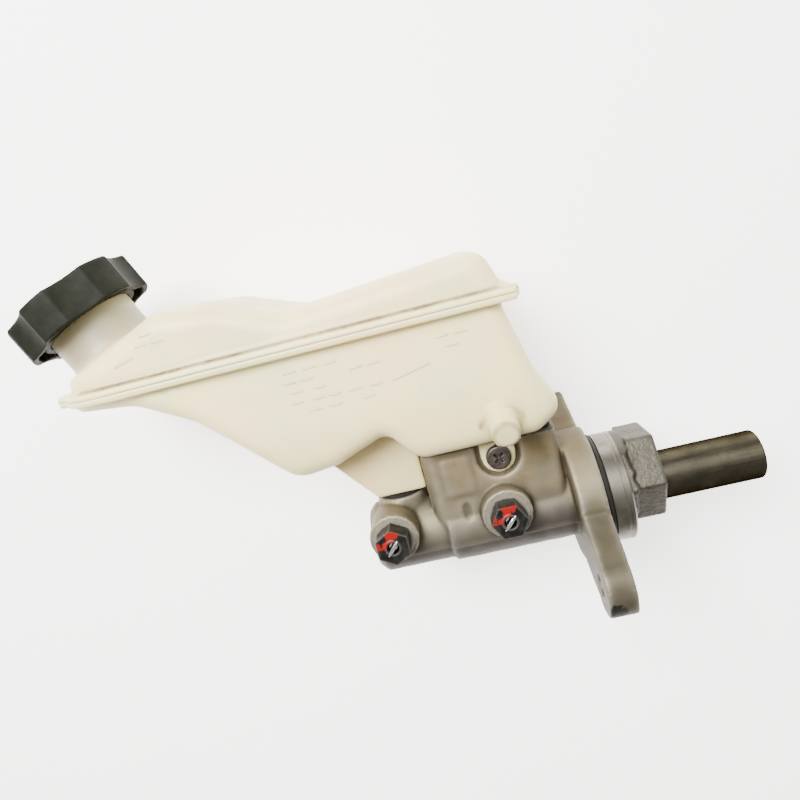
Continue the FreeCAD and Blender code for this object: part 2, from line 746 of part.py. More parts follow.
def reservoir_upper():
    low_z = seam_mid_z + seat_gap
    outside, inside = half_shell(upper_outline(), low_z, room)
    neck = on_neck(-neck_length, neck_r, neck_length)
    above = Part.makeBox(room, room, room, V(cap_seat_x - room / 2.0, -room / 2.0, seam_high_z))
    shell = outside.fuse([seam_plate(low_z, seam_high_z), neck.common(above)])
    mouth = on_neck(-neck_length, neck_r - neck_wall, neck_length + over).common(above)
    return shell.cut(inside).cut(mouth).removeSplitter()


def lobed_outline(inset):
    """Cap's outline about +Z: round crests with shallow scallops between them."""
    def at(radius, degrees):
        a = math.radians(degrees)
        return V(radius * math.cos(a), radius * math.sin(a), 0)

    pitch = 360.0 / cap_lobes
    edges = []
    for i in range(cap_lobes):
        crest = cap_phase + pitch * i
        outer = cap_r - inset
        first = at(outer, crest - cap_lobe_half)
        last = at(outer, crest + cap_lobe_half)
        edges.append(Part.Arc(first, at(outer, crest), last).toShape())
        hollow = at(outer - cap_scallop, crest + pitch / 2.0)
        edges.append(Part.Arc(last, hollow, at(outer, crest + pitch - cap_lobe_half)).toShape())
    return Part.Face(Part.Wire(edges))


def onto_neck(solid):
    """Place a solid made about +Z, with its zero at the neck's mouth."""
    solid.rotate(V(0, 0, 0), V(0, 1, 0), -neck_lean)
    solid.translate(neck_mouth)
    return solid


def filler_cap():
    top_z = gasket_thickness + seat_gap + cap_top
    low_z = top_z - cap_height
    skirt = lobed_outline(0.0).extrude(V(0, 0, cap_height))
    skirt.translate(V(0, 0, low_z))
    skirt = skirt.makeFillet(edge_round, [e for e in skirt.Edges if e.BoundBox.ZMin > top_z - tiny])
    hollow = lobed_outline(cap_skirt_wall).extrude(V(0, 0, cap_height - cap_top))
    hollow.translate(V(0, 0, low_z))
    inner = neck_r + loose_gap
    outer = inner + cap_thread_wall
    ceiling = top_z - cap_top
    collar = Part.makeCylinder(outer, ceiling - low_z, V(0, 0, low_z + over))
    cap = skirt.cut(hollow).fuse(collar)
    rib_reach = cap_r - cap_skirt_wall - cap_scallop - inner
    for i in range(cap_ribs):
        start = V(inner + over, -rib_width / 2.0, low_z + rib_rise)
        rib = Part.makeBox(rib_reach, rib_width, ceiling - low_z - rib_rise + over, start)
        rib.rotate(V(0, 0, 0), V(0, 0, 1), cap_phase + 360.0 / cap_ribs * i)
        cap = cap.fuse(rib)
    bore = Part.makeCylinder(inner, ceiling - low_z, V(0, 0, low_z))
    dome_height = gasket_dome - gasket_thickness + loose_gap
    dome = Part.makeCylinder(gasket_dome_r + loose_gap, dome_height, V(0, 0, ceiling - merge))
    return onto_neck(cap.cut(bore).cut(dome).removeSplitter())


def cap_gasket():
    """Flat rubber ring with a shallow bellows dome."""
    disc = Part.makeCylinder(neck_r - seat_gap, gasket_thickness, V(0, 0, seat_gap / 2.0))
    dome = Part.makeCylinder(gasket_dome_r, gasket_dome, V(0, 0, seat_gap / 2.0))
    under = Part.makeCylinder(gasket_dome_r - gasket_skin, gasket_dome - gasket_skin, V(0, 0, 0))
    return onto_neck(disc.fuse(dome).cut(under).removeSplitter())


def filler_strainer():
    """Tapered basket that hangs inside the neck."""
    rim_r = neck_r - neck_wall - seat_gap
    top_r = rim_r - strainer_step
    foot_r = rim_r - strainer_taper
    depth = strainer_depth
    top_z = -strainer_rim - loose_gap / 2.0
    low_z = top_z - depth
    rim = Part.makeCylinder(rim_r, strainer_rim, V(0, 0, top_z))
    basket = Part.makeCone(foot_r, top_r, depth, V(0, 0, low_z))
    hollow_low = V(0, 0, low_z + strainer_wall)
    hollow = Part.makeCone(foot_r - strainer_wall, top_r - strainer_wall, depth + strainer_rim, hollow_low)
    basket = basket.fuse(rim).cut(hollow)
    slot_corner = V(rim_r / 2.0, -slot_width / 2.0, -slot_low * depth)
    for i in range(strainer_slots):
        turn = 360.0 / strainer_slots * i
        slot = Part.makeBox(rim_r, slot_width, depth * slot_share, slot_corner)
        slot.rotate(V(0, 0, 0), V(0, 0, 1), turn)
        hole = Part.makeCylinder(floor_hole_r, strainer_wall + 2.0 * over, V(rim_r / 2.0, 0, low_z - over))
        hole.rotate(V(0, 0, 0), V(0, 0, 1), turn)
        basket = basket.cut(slot).cut(hole)
    return onto_neck(basket.removeSplitter())


def level_float():
    top_z = float_rest_z + float_height
    body = post(float_r, float_x, 0, float_rest_z, top_z)
    body = body.makeFillet(edge_round, [e for e in body.Edges if e.BoundBox.ZLength < tiny])
    body = body.cut(post(float_guide_r + loose_gap, float_x, 0, float_rest_z - over, top_z + over))
    return body.cut(magnet_pocket(seat_gap, top_z + over))


def magnet_pocket(gap, top_z):
    low_z = float_rest_z + float_height - magnet_height
    bore = float_guide_r + loose_gap + magnet_wall
    outer = post(magnet_r + gap, float_x, 0, low_z - gap, top_z)
    return outer.cut(post(bore - gap, float_x, 0, low_z - over, top_z + over))


def float_magnet():
    return magnet_pocket(0.0, float_rest_z + float_height - magnet_depth)


def level_sensor():
    """Reed sensor pushed into its pocket, with a square head and a connector shroud."""
    out = V(0, 1, 0)
    face_y = half_width + seat_gap
    low_z = sensor_z - sensor_head / 2.0
    probe_start = V(sensor_x, half_width - sensor_reach, sensor_z)
    probe = Part.makeCylinder(sensor_r, sensor_reach + over, probe_start, out)
    head_corner = V(sensor_x - sensor_head / 2.0, face_y, low_z)
    head = Part.makeBox(sensor_head, sensor_head_height, sensor_head, head_corner)
    head = head.makeFillet(edge_round, [e for e in head.Edges if e.BoundBox.YLength > 1.0])
    depth = sensor_head_height + connector_step
    low = V(sensor_x - connector_width / 2.0, face_y + loose_gap, low_z - connector_length)
    shroud = Part.makeBox(connector_width, depth, connector_length + over, low)
    width = connector_width - 2.0 * connector_wall
    inside_corner = low.add(V(connector_wall, connector_wall, -over))
    inside = Part.makeBox(width, depth - 2.0 * connector_wall, connector_length - over, inside_corner)
    shroud = shroud.cut(inside)
    for side in (-1, 1):
        x = sensor_x + side * pin_pitch / 2.0 - pin_size / 2.0
        corner = V(x, low.y + (depth - pin_size) / 2.0, low.z + connector_wall)
        shroud = shroud.fuse(Part.makeBox(pin_size, pin_size, connector_length - connector_wall, corner))
    return probe.fuse([head, shroud]).removeSplitter()


def retaining_screw():
    face_y = tab_seat_y - tab_thickness - 2.0 * seat_gap
    head = Part.makeCylinder(screw_head_r, screw_head_height, V(tab_x, face_y, tab_z), V(0, -1, 0))
    front_y = face_y - screw_head_height
    head = head.makeFillet(edge_round, [e for e in head.Edges if e.BoundBox.YMax < front_y + tiny])
    shank = Part.makeCylinder(screw_r - seat_gap, screw_thread, V(tab_x, face_y - merge, tab_z), V(0, 1, 0))
    screw = head.fuse(shank)
    corner = V(-recess_length / 2.0, -over, -recess_width / 2.0)
    for turn in (45.0, 135.0):
        blade = Part.makeBox(recess_length, recess_depth + over, recess_width, corner)
        blade.rotate(V(0, 0, 0), V(0, 1, 0), turn)
        blade.translate(V(tab_x, front_y, tab_z))
        screw = screw.cut(blade)
    return screw


nodes = {
    "cylinder_body": cylinder_body,
    "primary_piston": primary_piston,
    "captive_bolt": captive_bolt,
    "spring_sleeve": spring_sleeve,
    "secondary_piston": secondary_piston,
    "primary_spring": primary_spring,
    "secondary_spring": secondary_spring,
    "secondary_pressure_seal": lambda: bore_seal(*secondary_pressure_groove),
    "separating_seal": lambda: bore_seal(*separating_groove),
    "primary_pressure_seal": lambda: bore_seal(*primary_pressure_groove),
    "primary_vacuum_seal": lambda: bore_seal(*primary_vacuum_groove),
    "guide_bush": guide_bush,
    "snap_ring": snap_ring,
    "flange_seal": flange_seal,
    "rear_tube_nut": lambda: tube_nut(rear_port_x, 0.0),
    "front_tube_nut": lambda: tube_nut(front_port_x, 30.0),
    "rear_flare_seat": lambda: flare_seat(rear_port_x),
    "front_flare_seat": lambda: flare_seat(front_port_x),
    "rear_pipe_stub": lambda: pipe_stub(rear_port_x),
    "front_pipe_stub": lambda: pipe_stub(front_port_x),
    "rear_grommet": rear_grommet,
    "front_grommet": front_grommet,
    "reservoir_lower": reservoir_lower,
    "reservoir_upper": reservoir_upper,
    "filler_cap": filler_cap,
    "cap_gasket": cap_gasket,
    "filler_strainer": filler_strainer,
    "level_float": level_float,
    "float_magnet": float_magnet,
    "level_sensor": level_sensor,
    "retaining_screw": retaining_screw,
}

os.makedirs("parts", exist_ok=True)
for name, make in nodes.items():
    shape = make()
    print(name, len(shape.Solids), round(shape.Volume), shape.isValid())
    shape.exportStep("parts/" + name + ".step")
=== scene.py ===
import json
import math

import bmesh
import bpy
import numpy as np
from mathutils import Matrix, Vector, noise


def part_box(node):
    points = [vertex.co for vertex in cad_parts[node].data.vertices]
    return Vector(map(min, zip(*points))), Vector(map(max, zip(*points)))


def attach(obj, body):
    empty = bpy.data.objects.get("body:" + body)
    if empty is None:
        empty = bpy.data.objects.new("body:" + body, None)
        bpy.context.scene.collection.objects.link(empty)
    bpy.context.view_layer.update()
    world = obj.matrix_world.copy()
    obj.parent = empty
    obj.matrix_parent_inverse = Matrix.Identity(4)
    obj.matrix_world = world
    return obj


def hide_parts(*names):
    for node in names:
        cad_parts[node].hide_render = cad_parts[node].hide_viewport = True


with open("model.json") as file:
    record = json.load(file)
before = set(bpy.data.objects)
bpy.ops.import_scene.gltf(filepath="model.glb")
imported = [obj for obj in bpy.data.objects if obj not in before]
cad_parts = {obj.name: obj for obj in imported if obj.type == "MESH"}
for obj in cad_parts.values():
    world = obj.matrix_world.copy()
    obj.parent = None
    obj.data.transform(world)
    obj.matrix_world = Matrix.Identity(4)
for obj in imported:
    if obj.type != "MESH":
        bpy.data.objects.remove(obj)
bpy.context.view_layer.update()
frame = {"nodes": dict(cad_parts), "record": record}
print("frame loaded")

mm = 0.001


# Small helpers

def linearColour(hexText):
    parts = [int(hexText[i:i + 2], 16) / 255 for i in (1, 3, 5)]
    return [p / 12.92 if p <= 0.04045 else ((p + 0.055) / 1.055) ** 2.4 for p in parts] + [1.0]


def addNode(tree, kind, inputs=None, **settings):
    node = tree.nodes.new("ShaderNode" + kind)
    for name, value in settings.items():
        setattr(node, name, value)
    for socket, value in (inputs or {}).items():
        if isinstance(value, bpy.types.NodeSocket):
            tree.links.new(value, node.inputs[socket])
        else:
            node.inputs[socket].default_value = value
    return node


def startMaterial(name):
    material = bpy.data.materials.new(name)
    material.use_nodes = True
    tree = material.node_tree
    tree.nodes.clear()
    place = addNode(tree, "TexCoord").outputs["Object"]
    return material, tree, place


def closeMaterial(tree, shader):
    addNode(tree, "OutputMaterial", {"Surface": shader.outputs[0]})


def newPiece(name, mesh):
    piece = bpy.data.objects.new(name, mesh)
    bpy.context.scene.collection.objects.link(piece)
    return piece


def pieceFromBmesh(name, bm, sharpAngle=35):
    mesh = bpy.data.meshes.new(name)
    bm.to_mesh(mesh)
    bm.free()
    mesh.shade_smooth()
    mesh.set_sharp_from_angle(angle=math.radians(sharpAngle))
    return newPiece(name, mesh)


def copyOfNode(node):
    bm = bmesh.new()
    bm.from_mesh(frame["nodes"][node].data)
    bmesh.ops.remove_doubles(bm, verts=bm.verts, dist=0.004 * mm)
    return bm


def settleModifiers(piece):
    graph = bpy.context.evaluated_depsgraph_get()
    mesh = bpy.data.meshes.new_from_object(piece.evaluated_get(graph))
    piece.modifiers.clear()
    piece.data = mesh
    return piece


def softened(name, bm, voxel, rounds, hold=None):
    # moulded or cast skin: one closed surface with its edges a little round
    # hold gives each point's share of the easing, and without it every point has all of it
    piece = pieceFromBmesh(name, bm, 180)
    remesh = piece.modifiers.new("skin", "REMESH")
    remesh.mode = "VOXEL"
    remesh.voxel_size = voxel * mm
    remesh.use_smooth_shade = True
    settleModifiers(piece)
    if rounds:
        group = piece.vertex_groups.new(name="ease")
        weights = np.ones(len(piece.data.vertices)) if hold is None else hold(pointsOf(piece.data) / mm)
        for level in np.unique(weights):
            group.add(np.nonzero(weights == level)[0].tolist(), float(level), "REPLACE")
        ease = piece.modifiers.new("ease", "SMOOTH")
        ease.factor = 0.5
        ease.iterations = rounds
        ease.vertex_group = "ease"
        settleModifiers(piece)
        piece.vertex_groups.clear()
    return piece


def pointsOf(mesh):
    points = np.empty(len(mesh.vertices) * 3)
    mesh.vertices.foreach_get("co", points)
    return points.reshape(-1, 3)


def normalsOf(mesh):
    normals = np.empty(len(mesh.vertices) * 3)
    mesh.vertices.foreach_get("normal", normals)
    return normals.reshape(-1, 3)


def putPoints(mesh, points):
    mesh.vertices.foreach_set("co", points.ravel())
    mesh.update()


def markPoints(mesh, name, values):
    mark = mesh.attributes.new(name, "FLOAT", "POINT")
    mark.data.foreach_set("value", values.astype(np.float32))


def unevenness(points, size):
    # a smooth random swing for each point, with bumps of about size mm
    return np.array([noise.noise(Vector(p) / (size * mm)) for p in points])


def addShape(bm, extra):
    mesh = bpy.data.meshes.new("extra")
    extra.to_mesh(mesh)
    extra.free()
    bm.from_mesh(mesh)
    bpy.data.meshes.remove(mesh)


def markSkin(piece, steps, depth):
    # attributes hollow and worn: how far a point lies inside or outside its evened-out surroundings
    mesh = piece.data
    points = pointsOf(mesh)
    ends = np.empty(len(mesh.edges) * 2, dtype=np.int64)
    mesh.edges.foreach_get("vertices", ends)
    first, second = ends[0::2], ends[1::2]
    count = len(points)
    links = np.bincount(first, minlength=count) + np.bincount(second, minlength=count)
    eased = points.copy()
    for _ in range(steps):
        total = np.empty_like(eased)
        for axis in range(3):
            total[:, axis] = (np.bincount(first, eased[second, axis], count)
                              + np.bincount(second, eased[first, axis], count))
        eased = total / np.maximum(links, 1)[:, None]
    rise = ((eased - points) * normalsOf(mesh)).sum(1) / (depth * mm)
    markPoints(mesh, "hollow", np.clip(rise, 0, 1))
    markPoints(mesh, "worn", np.clip(-rise, 0, 1))


def settle(piece, body, slotName, material, *nodes):
    piece.data.materials.clear()
    piece.data.materials.append(material)
    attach(piece, body)
    if nodes:
        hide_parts(*nodes)
    return piece


def spunProfile(profile, turns=96, centre=(0, 0, 0), axis=(1, 0, 0)):
    # closed ring from a profile of (along, radius) in mm, turned about an axis
    bm = bmesh.new()
    axis = Vector(axis).normalized()
    side = Vector((0, 0, 1)) if abs(axis.z) < 0.9 else Vector((1, 0, 0))
    side = (side - axis * side.dot(axis)).normalized()
    centre = Vector(centre)
    corners = [bm.verts.new(centre + axis * (a * mm) + side * (r * mm)) for a, r in profile]
    edges = [bm.edges.new((corners[i], corners[(i + 1) % len(corners)])) for i in range(len(corners))]
    bmesh.ops.spin(bm, geom=corners + edges, cent=centre, axis=axis, angle=2 * math.pi,
                   steps=turns, use_merge=True, use_duplicate=False)
    bmesh.ops.remove_doubles(bm, verts=bm.verts, dist=0.002 * mm)
    bmesh.ops.recalc_face_normals(bm, faces=bm.faces)
    return bm


# Camera, light and the pale sheet that the part lies on

cameraLook = {"place": (-43.2, -271.2, 115.9), "azimuth": 5.82, "elevation": 12.0, "roll": 13.6,
              "lens": 29.595, "sensor": 36, "nearest": 5.0}


def buildCamera():
    look = cameraLook
    a, e, roll = (math.radians(look[k]) for k in ("azimuth", "elevation", "roll"))
    toViewer = Vector((0, -math.cos(e), math.sin(e)))
    upright = Vector((0, math.sin(e), math.cos(e)))
    along = Vector((1, 0, 0))
    level = along * math.cos(a) - toViewer * math.sin(a)
    back = along * math.sin(a) + toViewer * math.cos(a)
    right = level * math.cos(roll) - upright * math.sin(roll)
    up = level * math.sin(roll) + upright * math.cos(roll)
    data = bpy.data.cameras.new("camera")
    data.sensor_width = look["sensor"]
    data.lens = look["lens"]
    data.clip_start = look["nearest"] * mm
    camera = bpy.data.objects.new("camera", data)
    bpy.context.scene.collection.objects.link(camera)
    turn = Matrix((right, up, back)).transposed().to_4x4()
    camera.matrix_world = Matrix.Translation(Vector(look["place"]) * mm) @ turn
    bpy.context.scene.camera = camera


studio = {
    "sheet": "#F3F1EE", "sheetGlow": 2.2, "sheetRoughness": 0.8, "sheetPlace": 54.0, "sheetSize": 20000.0,
    "worldColour": "#F4F3F0", "worldStrength": 0.7, "aim": (-0.06, 0, 0.04),
    "keyPower": 58.0, "keySize": 0.55, "keyPlace": (-0.4, -0.92, 0.62),
    "fillPower": 9.0, "fillSize": 0.8, "fillPlace": (0.7, -0.8, 0.6),
}


def buildStudio():
    look = studio
    world = bpy.data.worlds.new("studio")
    world.use_nodes = True
    background = world.node_tree.nodes["Background"]
    background.inputs["Color"].default_value = linearColour(look["worldColour"])
    background.inputs["Strength"].default_value = look["worldStrength"]
    bpy.context.scene.world = world
    for name in ("key", "fill"):
        data = bpy.data.lights.new(name, "AREA")
        data.energy = look[name + "Power"]
        data.size = look[name + "Size"]
        light = bpy.data.objects.new(name, data)
        bpy.context.scene.collection.objects.link(light)
        light.location = look[name + "Place"]
        aim = Vector(look["aim"]) - light.location
        light.rotation_euler = aim.to_track_quat("-Z", "Y").to_euler()
    bm = bmesh.new()
    bmesh.ops.create_grid(bm, x_segments=1, y_segments=1, size=look["sheetSize"] * mm / 2)
    place = Matrix.Translation((0, look["sheetPlace"] * mm, 0)) @ Matrix.Rotation(math.radians(90), 4, "X")
    bmesh.ops.transform(bm, matrix=place, verts=bm.verts)
    sheet = pieceFromBmesh("paperSheet", bm)
    # White paper: matt and evenly lit by a glow of its own, and clear when seen from behind
    material, tree, _ = startMaterial("paperSheet")
    shader = addNode(tree, "BsdfPrincipled", {
        "Base Color": linearColour(look["sheet"]), "Roughness": look["sheetRoughness"],
        "Emission Color": linearColour(look["sheet"]), "Emission Strength": look["sheetGlow"]})
    clear = addNode(tree, "BsdfTransparent")
    side = addNode(tree, "NewGeometry").outputs["Backfacing"]
    both = addNode(tree, "MixShader", {0: side, 1: shader.outputs[0], 2: clear.outputs[0]})
    closeMaterial(tree, both)
    sheet.data.materials.append(material)


buildCamera()
buildStudio()
print("camera and studio")


# Materials

# colours: tan, brown and fluid are stains; the underside and ear colours are painted shade; the hollow colour
# is dirt with painted shade; the grease colour also paints the shade of the tower's rim
castLook = {
    "clean": "#66604F", "tan": "#705C33", "brown": "#443216", "shadeUnder": "#3E3835", "ear": "#352F20",
    "fluid": "#413519", "dirtAndShade": "#171108", "bright": "#8C8677", "greaseAndGapShade": "#0B0906",
    "stain": 17.0, "deepStain": 7.0, "grain": 0.9, "grit": 0.35, "pebble": 0.09, "wear": 0.55,
}


def dieCastAluminium():
    # Die cast: dull grey with a fine pebbled skin, stained tan by fluid at the top, darkened in its hollows
    # by dirt and painted shade, and darker underneath with painted shade
    look = castLook
    material, tree, place = startMaterial("dieCastAluminium")
    xyz = addNode(tree, "SeparateXYZ", {0: place})
    blotch = addNode(tree, "TexNoise", {"Vector": place, "Scale": 1 / (look["stain"] * mm), "Detail": 4.0,
                                        "Roughness": 0.6})
    height = addNode(tree, "MapRange", {0: xyz.outputs["Z"], 1: 2 * mm, 2: 34 * mm})
    towardsFlange = addNode(tree, "MapRange", {0: xyz.outputs["X"], 1: -45 * mm, 2: -6 * mm, 3: 0.55, 4: 1.0})
    rise = addNode(tree, "Math", {0: height.outputs[0], 1: towardsFlange.outputs[0]}, operation="MULTIPLY")
    patch = addNode(tree, "MapRange", {0: blotch.outputs[0], 1: 0.36, 2: 0.62, 3: 0.25, 4: 1.3})
    tanAmount = addNode(tree, "Math", {0: rise.outputs[0], 1: patch.outputs[0]}, operation="MULTIPLY",
                        use_clamp=True)
    # painted shade: darker towards the bottom, reaching higher beside the flange, with another dark on the
    # ear
    besideFlange = addNode(tree, "MapRange", {0: xyz.outputs["X"], 1: -36 * mm, 2: -26 * mm, 3: 0.0,
                                              4: -7 * mm})
    lowered = addNode(tree, "Math", {0: xyz.outputs["Z"], 1: besideFlange.outputs[0]}, operation="ADD")
    low = addNode(tree, "MapRange", {0: lowered.outputs[0], 1: 7 * mm, 2: -8 * mm, 3: 0.0, 4: 0.9})
    onEar = addNode(tree, "MapRange", {0: xyz.outputs["X"], 1: -15 * mm, 2: -11 * mm})
    shadeColour = addNode(tree, "Mix", {0: onEar.outputs[0], 6: linearColour(look["shadeUnder"]),
                                  7: linearColour(look["ear"])}, data_type="RGBA")
    base = addNode(tree, "Mix", {0: low.outputs[0], 6: linearColour(look["clean"]), 7: shadeColour.outputs[2]},
                   data_type="RGBA")
    deep = addNode(tree, "TexNoise", {"Vector": place, "Scale": 1 / (look["deepStain"] * mm), "Detail": 5.0,
                                      "Roughness": 0.65})
    deepAmount = addNode(tree, "MapRange", {0: deep.outputs[0], 1: 0.5, 2: 0.75})
    browned = addNode(tree, "Math", {0: deepAmount.outputs[0], 1: tanAmount.outputs[0]}, operation="MULTIPLY")
    topRear = addNode(tree, "MapRange", {0: xyz.outputs["Z"], 1: 20 * mm, 2: 29 * mm})
    nearFlange = addNode(tree, "MapRange", {0: xyz.outputs["X"], 1: -31 * mm, 2: -20 * mm, 4: 0.85})
    ran = addNode(tree, "Math", {0: topRear.outputs[0], 1: nearFlange.outputs[0]}, operation="MULTIPLY")
    hollow, worn, cut, greaseAndGapShade = (addNode(tree, "Attribute", attribute_name=name).outputs["Fac"]
                                 for name in ("hollow", "worn", "machined", "greaseAndGapShade"))
    wornAmount = addNode(tree, "Math", {0: worn, 1: look["wear"]}, operation="MULTIPLY")
    colour = base.outputs[2]
    # the hollows darken with dirt and painted shade, and the tower's rim with grease and painted shade
    for amount, coat in ((tanAmount.outputs[0], "tan"), (browned.outputs[0], "brown"),
                         (ran.outputs[0], "fluid"), (hollow, "dirtAndShade"), (wornAmount.outputs[0], "bright"),
                         (cut, "bright"), (greaseAndGapShade, "greaseAndGapShade")):
        over = {0: amount, 6: colour, 7: linearColour(look[coat])}
        colour = addNode(tree, "Mix", over, data_type="RGBA").outputs[2]
    grain = addNode(tree, "TexNoise", {"Vector": place, "Scale": 1 / (look["grain"] * mm), "Detail": 3.0})
    grit = addNode(tree, "TexNoise", {"Vector": place, "Scale": 1 / (look["grit"] * mm), "Detail": 2.0})
    pebble = addNode(tree, "Math", {0: grain.outputs[0], 1: grit.outputs[0]}, operation="ADD")
    skin = addNode(tree, "Bump", {"Strength": 0.5, "Distance": look["pebble"] * mm,
                                  "Height": pebble.outputs[0]})
    rough = addNode(tree, "MapRange", {0: cut, 3: 0.58, 4: 0.36})
    metal = addNode(tree, "MapRange", {0: tanAmount.outputs[0], 3: 0.7, 4: 0.3})
    shader = addNode(tree, "BsdfPrincipled", {"Base Color": colour, "Metallic": metal.outputs[0],
                                              "Roughness": rough.outputs[0], "Normal": skin.outputs[0]})
    closeMaterial(tree, shader)
    return material


turnedLook = {"bright": "#706D63", "dull": "#545148", "rings": 0.5, "ringDepth": 0.02, "bloom": 6.0}


def turnedAluminium():
    # Turned on a lathe: bright, with fine rings round the axis and a few dull blooms
    look = turnedLook
    material, tree, place = startMaterial("turnedAluminium")
    rings = addNode(tree, "TexWave", {"Vector": place, "Scale": 1 / (look["rings"] * mm), "Distortion": 0.6,
                                      "Detail": 2.0}, bands_direction="X")
    bloom = addNode(tree, "TexNoise", {"Vector": place, "Scale": 1 / (look["bloom"] * mm), "Detail": 4.0})
    amount = addNode(tree, "MapRange", {0: bloom.outputs[0], 1: 0.4, 2: 0.7})
    colour = addNode(tree, "Mix", {0: amount.outputs[0], 6: linearColour(look["bright"]),
                                   7: linearColour(look["dull"])}, data_type="RGBA")
    rough = addNode(tree, "MapRange", {0: bloom.outputs[0], 1: 0.3, 2: 0.7, 3: 0.28, 4: 0.44})
    lines = addNode(tree, "Bump", {"Strength": 0.12, "Distance": look["ringDepth"] * mm,
                                   "Height": rings.outputs[0]})
    shader = addNode(tree, "BsdfPrincipled", {"Base Color": colour.outputs[2], "Metallic": 1.0,
                                              "Roughness": rough.outputs[0], "Normal": lines.outputs[0]})
    closeMaterial(tree, shader)
    return material


# the last colour is dirt and painted shade for the hollows
sandLook = {"pale": "#4D4A41", "dull": "#3A362E", "dirtAndShade": "#1E1B13", "grain": 0.9, "grit": 0.45,
            "blotch": 8.0, "pebble": 0.16}


def sandCastAluminium():
    # As cast against a coarse skin: pale grey with a sandy, slightly glinting pebble, darkened in its hollows
    # by dirt and painted shade
    look = sandLook
    material, tree, place = startMaterial("sandCastAluminium")
    grains = addNode(tree, "TexVoronoi", {"Vector": place, "Scale": 1 / (look["grain"] * mm)})
    fine = addNode(tree, "TexNoise", {"Vector": place, "Scale": 1 / (look["grit"] * mm), "Detail": 3.0})
    blotch = addNode(tree, "TexNoise", {"Vector": place, "Scale": 1 / (look["blotch"] * mm), "Detail": 4.0})
    amount = addNode(tree, "MapRange", {0: blotch.outputs[0], 1: 0.35, 2: 0.7})
    colour = addNode(tree, "Mix", {0: amount.outputs[0], 6: linearColour(look["pale"]),
                                   7: linearColour(look["dull"])}, data_type="RGBA")
    # the hollows darken with dirt and painted shade
    hollow = addNode(tree, "Attribute", attribute_name="hollow")
    dirtAndShadeMix = addNode(tree, "Mix", {0: hollow.outputs["Fac"], 6: colour.outputs[2],
                                  7: linearColour(look["dirtAndShade"])}, data_type="RGBA")
    both = addNode(tree, "Math", {0: grains.outputs["Distance"], 1: fine.outputs[0]}, operation="ADD")
    skin = addNode(tree, "Bump", {"Strength": 0.6, "Distance": look["pebble"] * mm,
                                  "Height": both.outputs[0]})
    shader = addNode(tree, "BsdfPrincipled", {"Base Color": dirtAndShadeMix.outputs[2], "Metallic": 0.85,
                                              "Roughness": 0.5, "Normal": skin.outputs[0]})
    closeMaterial(tree, shader)
    return material


# low is painted shade towards the bottom, brown is painted shade in the hollows, line is dirt and painted
# shade along seams and edges
reservoirLook = {
    "milk": "#EAD49C", "green": "#D9D39C", "pink": "#E8CF9B", "line": "#4A3208", "brown": "#86703F",
    "neck": "#6A6557", "low": "#A3976F", "fleck": "#3A3020", "neckShade": 0.85, "hollowShade": 0.45,
    "cloud": 26.0, "tint": 41.0, "broken": 3.5, "speck": 5.0, "wave": 9.0, "waveDepth": 0.35,
    "fine": 0.7, "fineDepth": 0.02, "lightReach": 4.0,
}


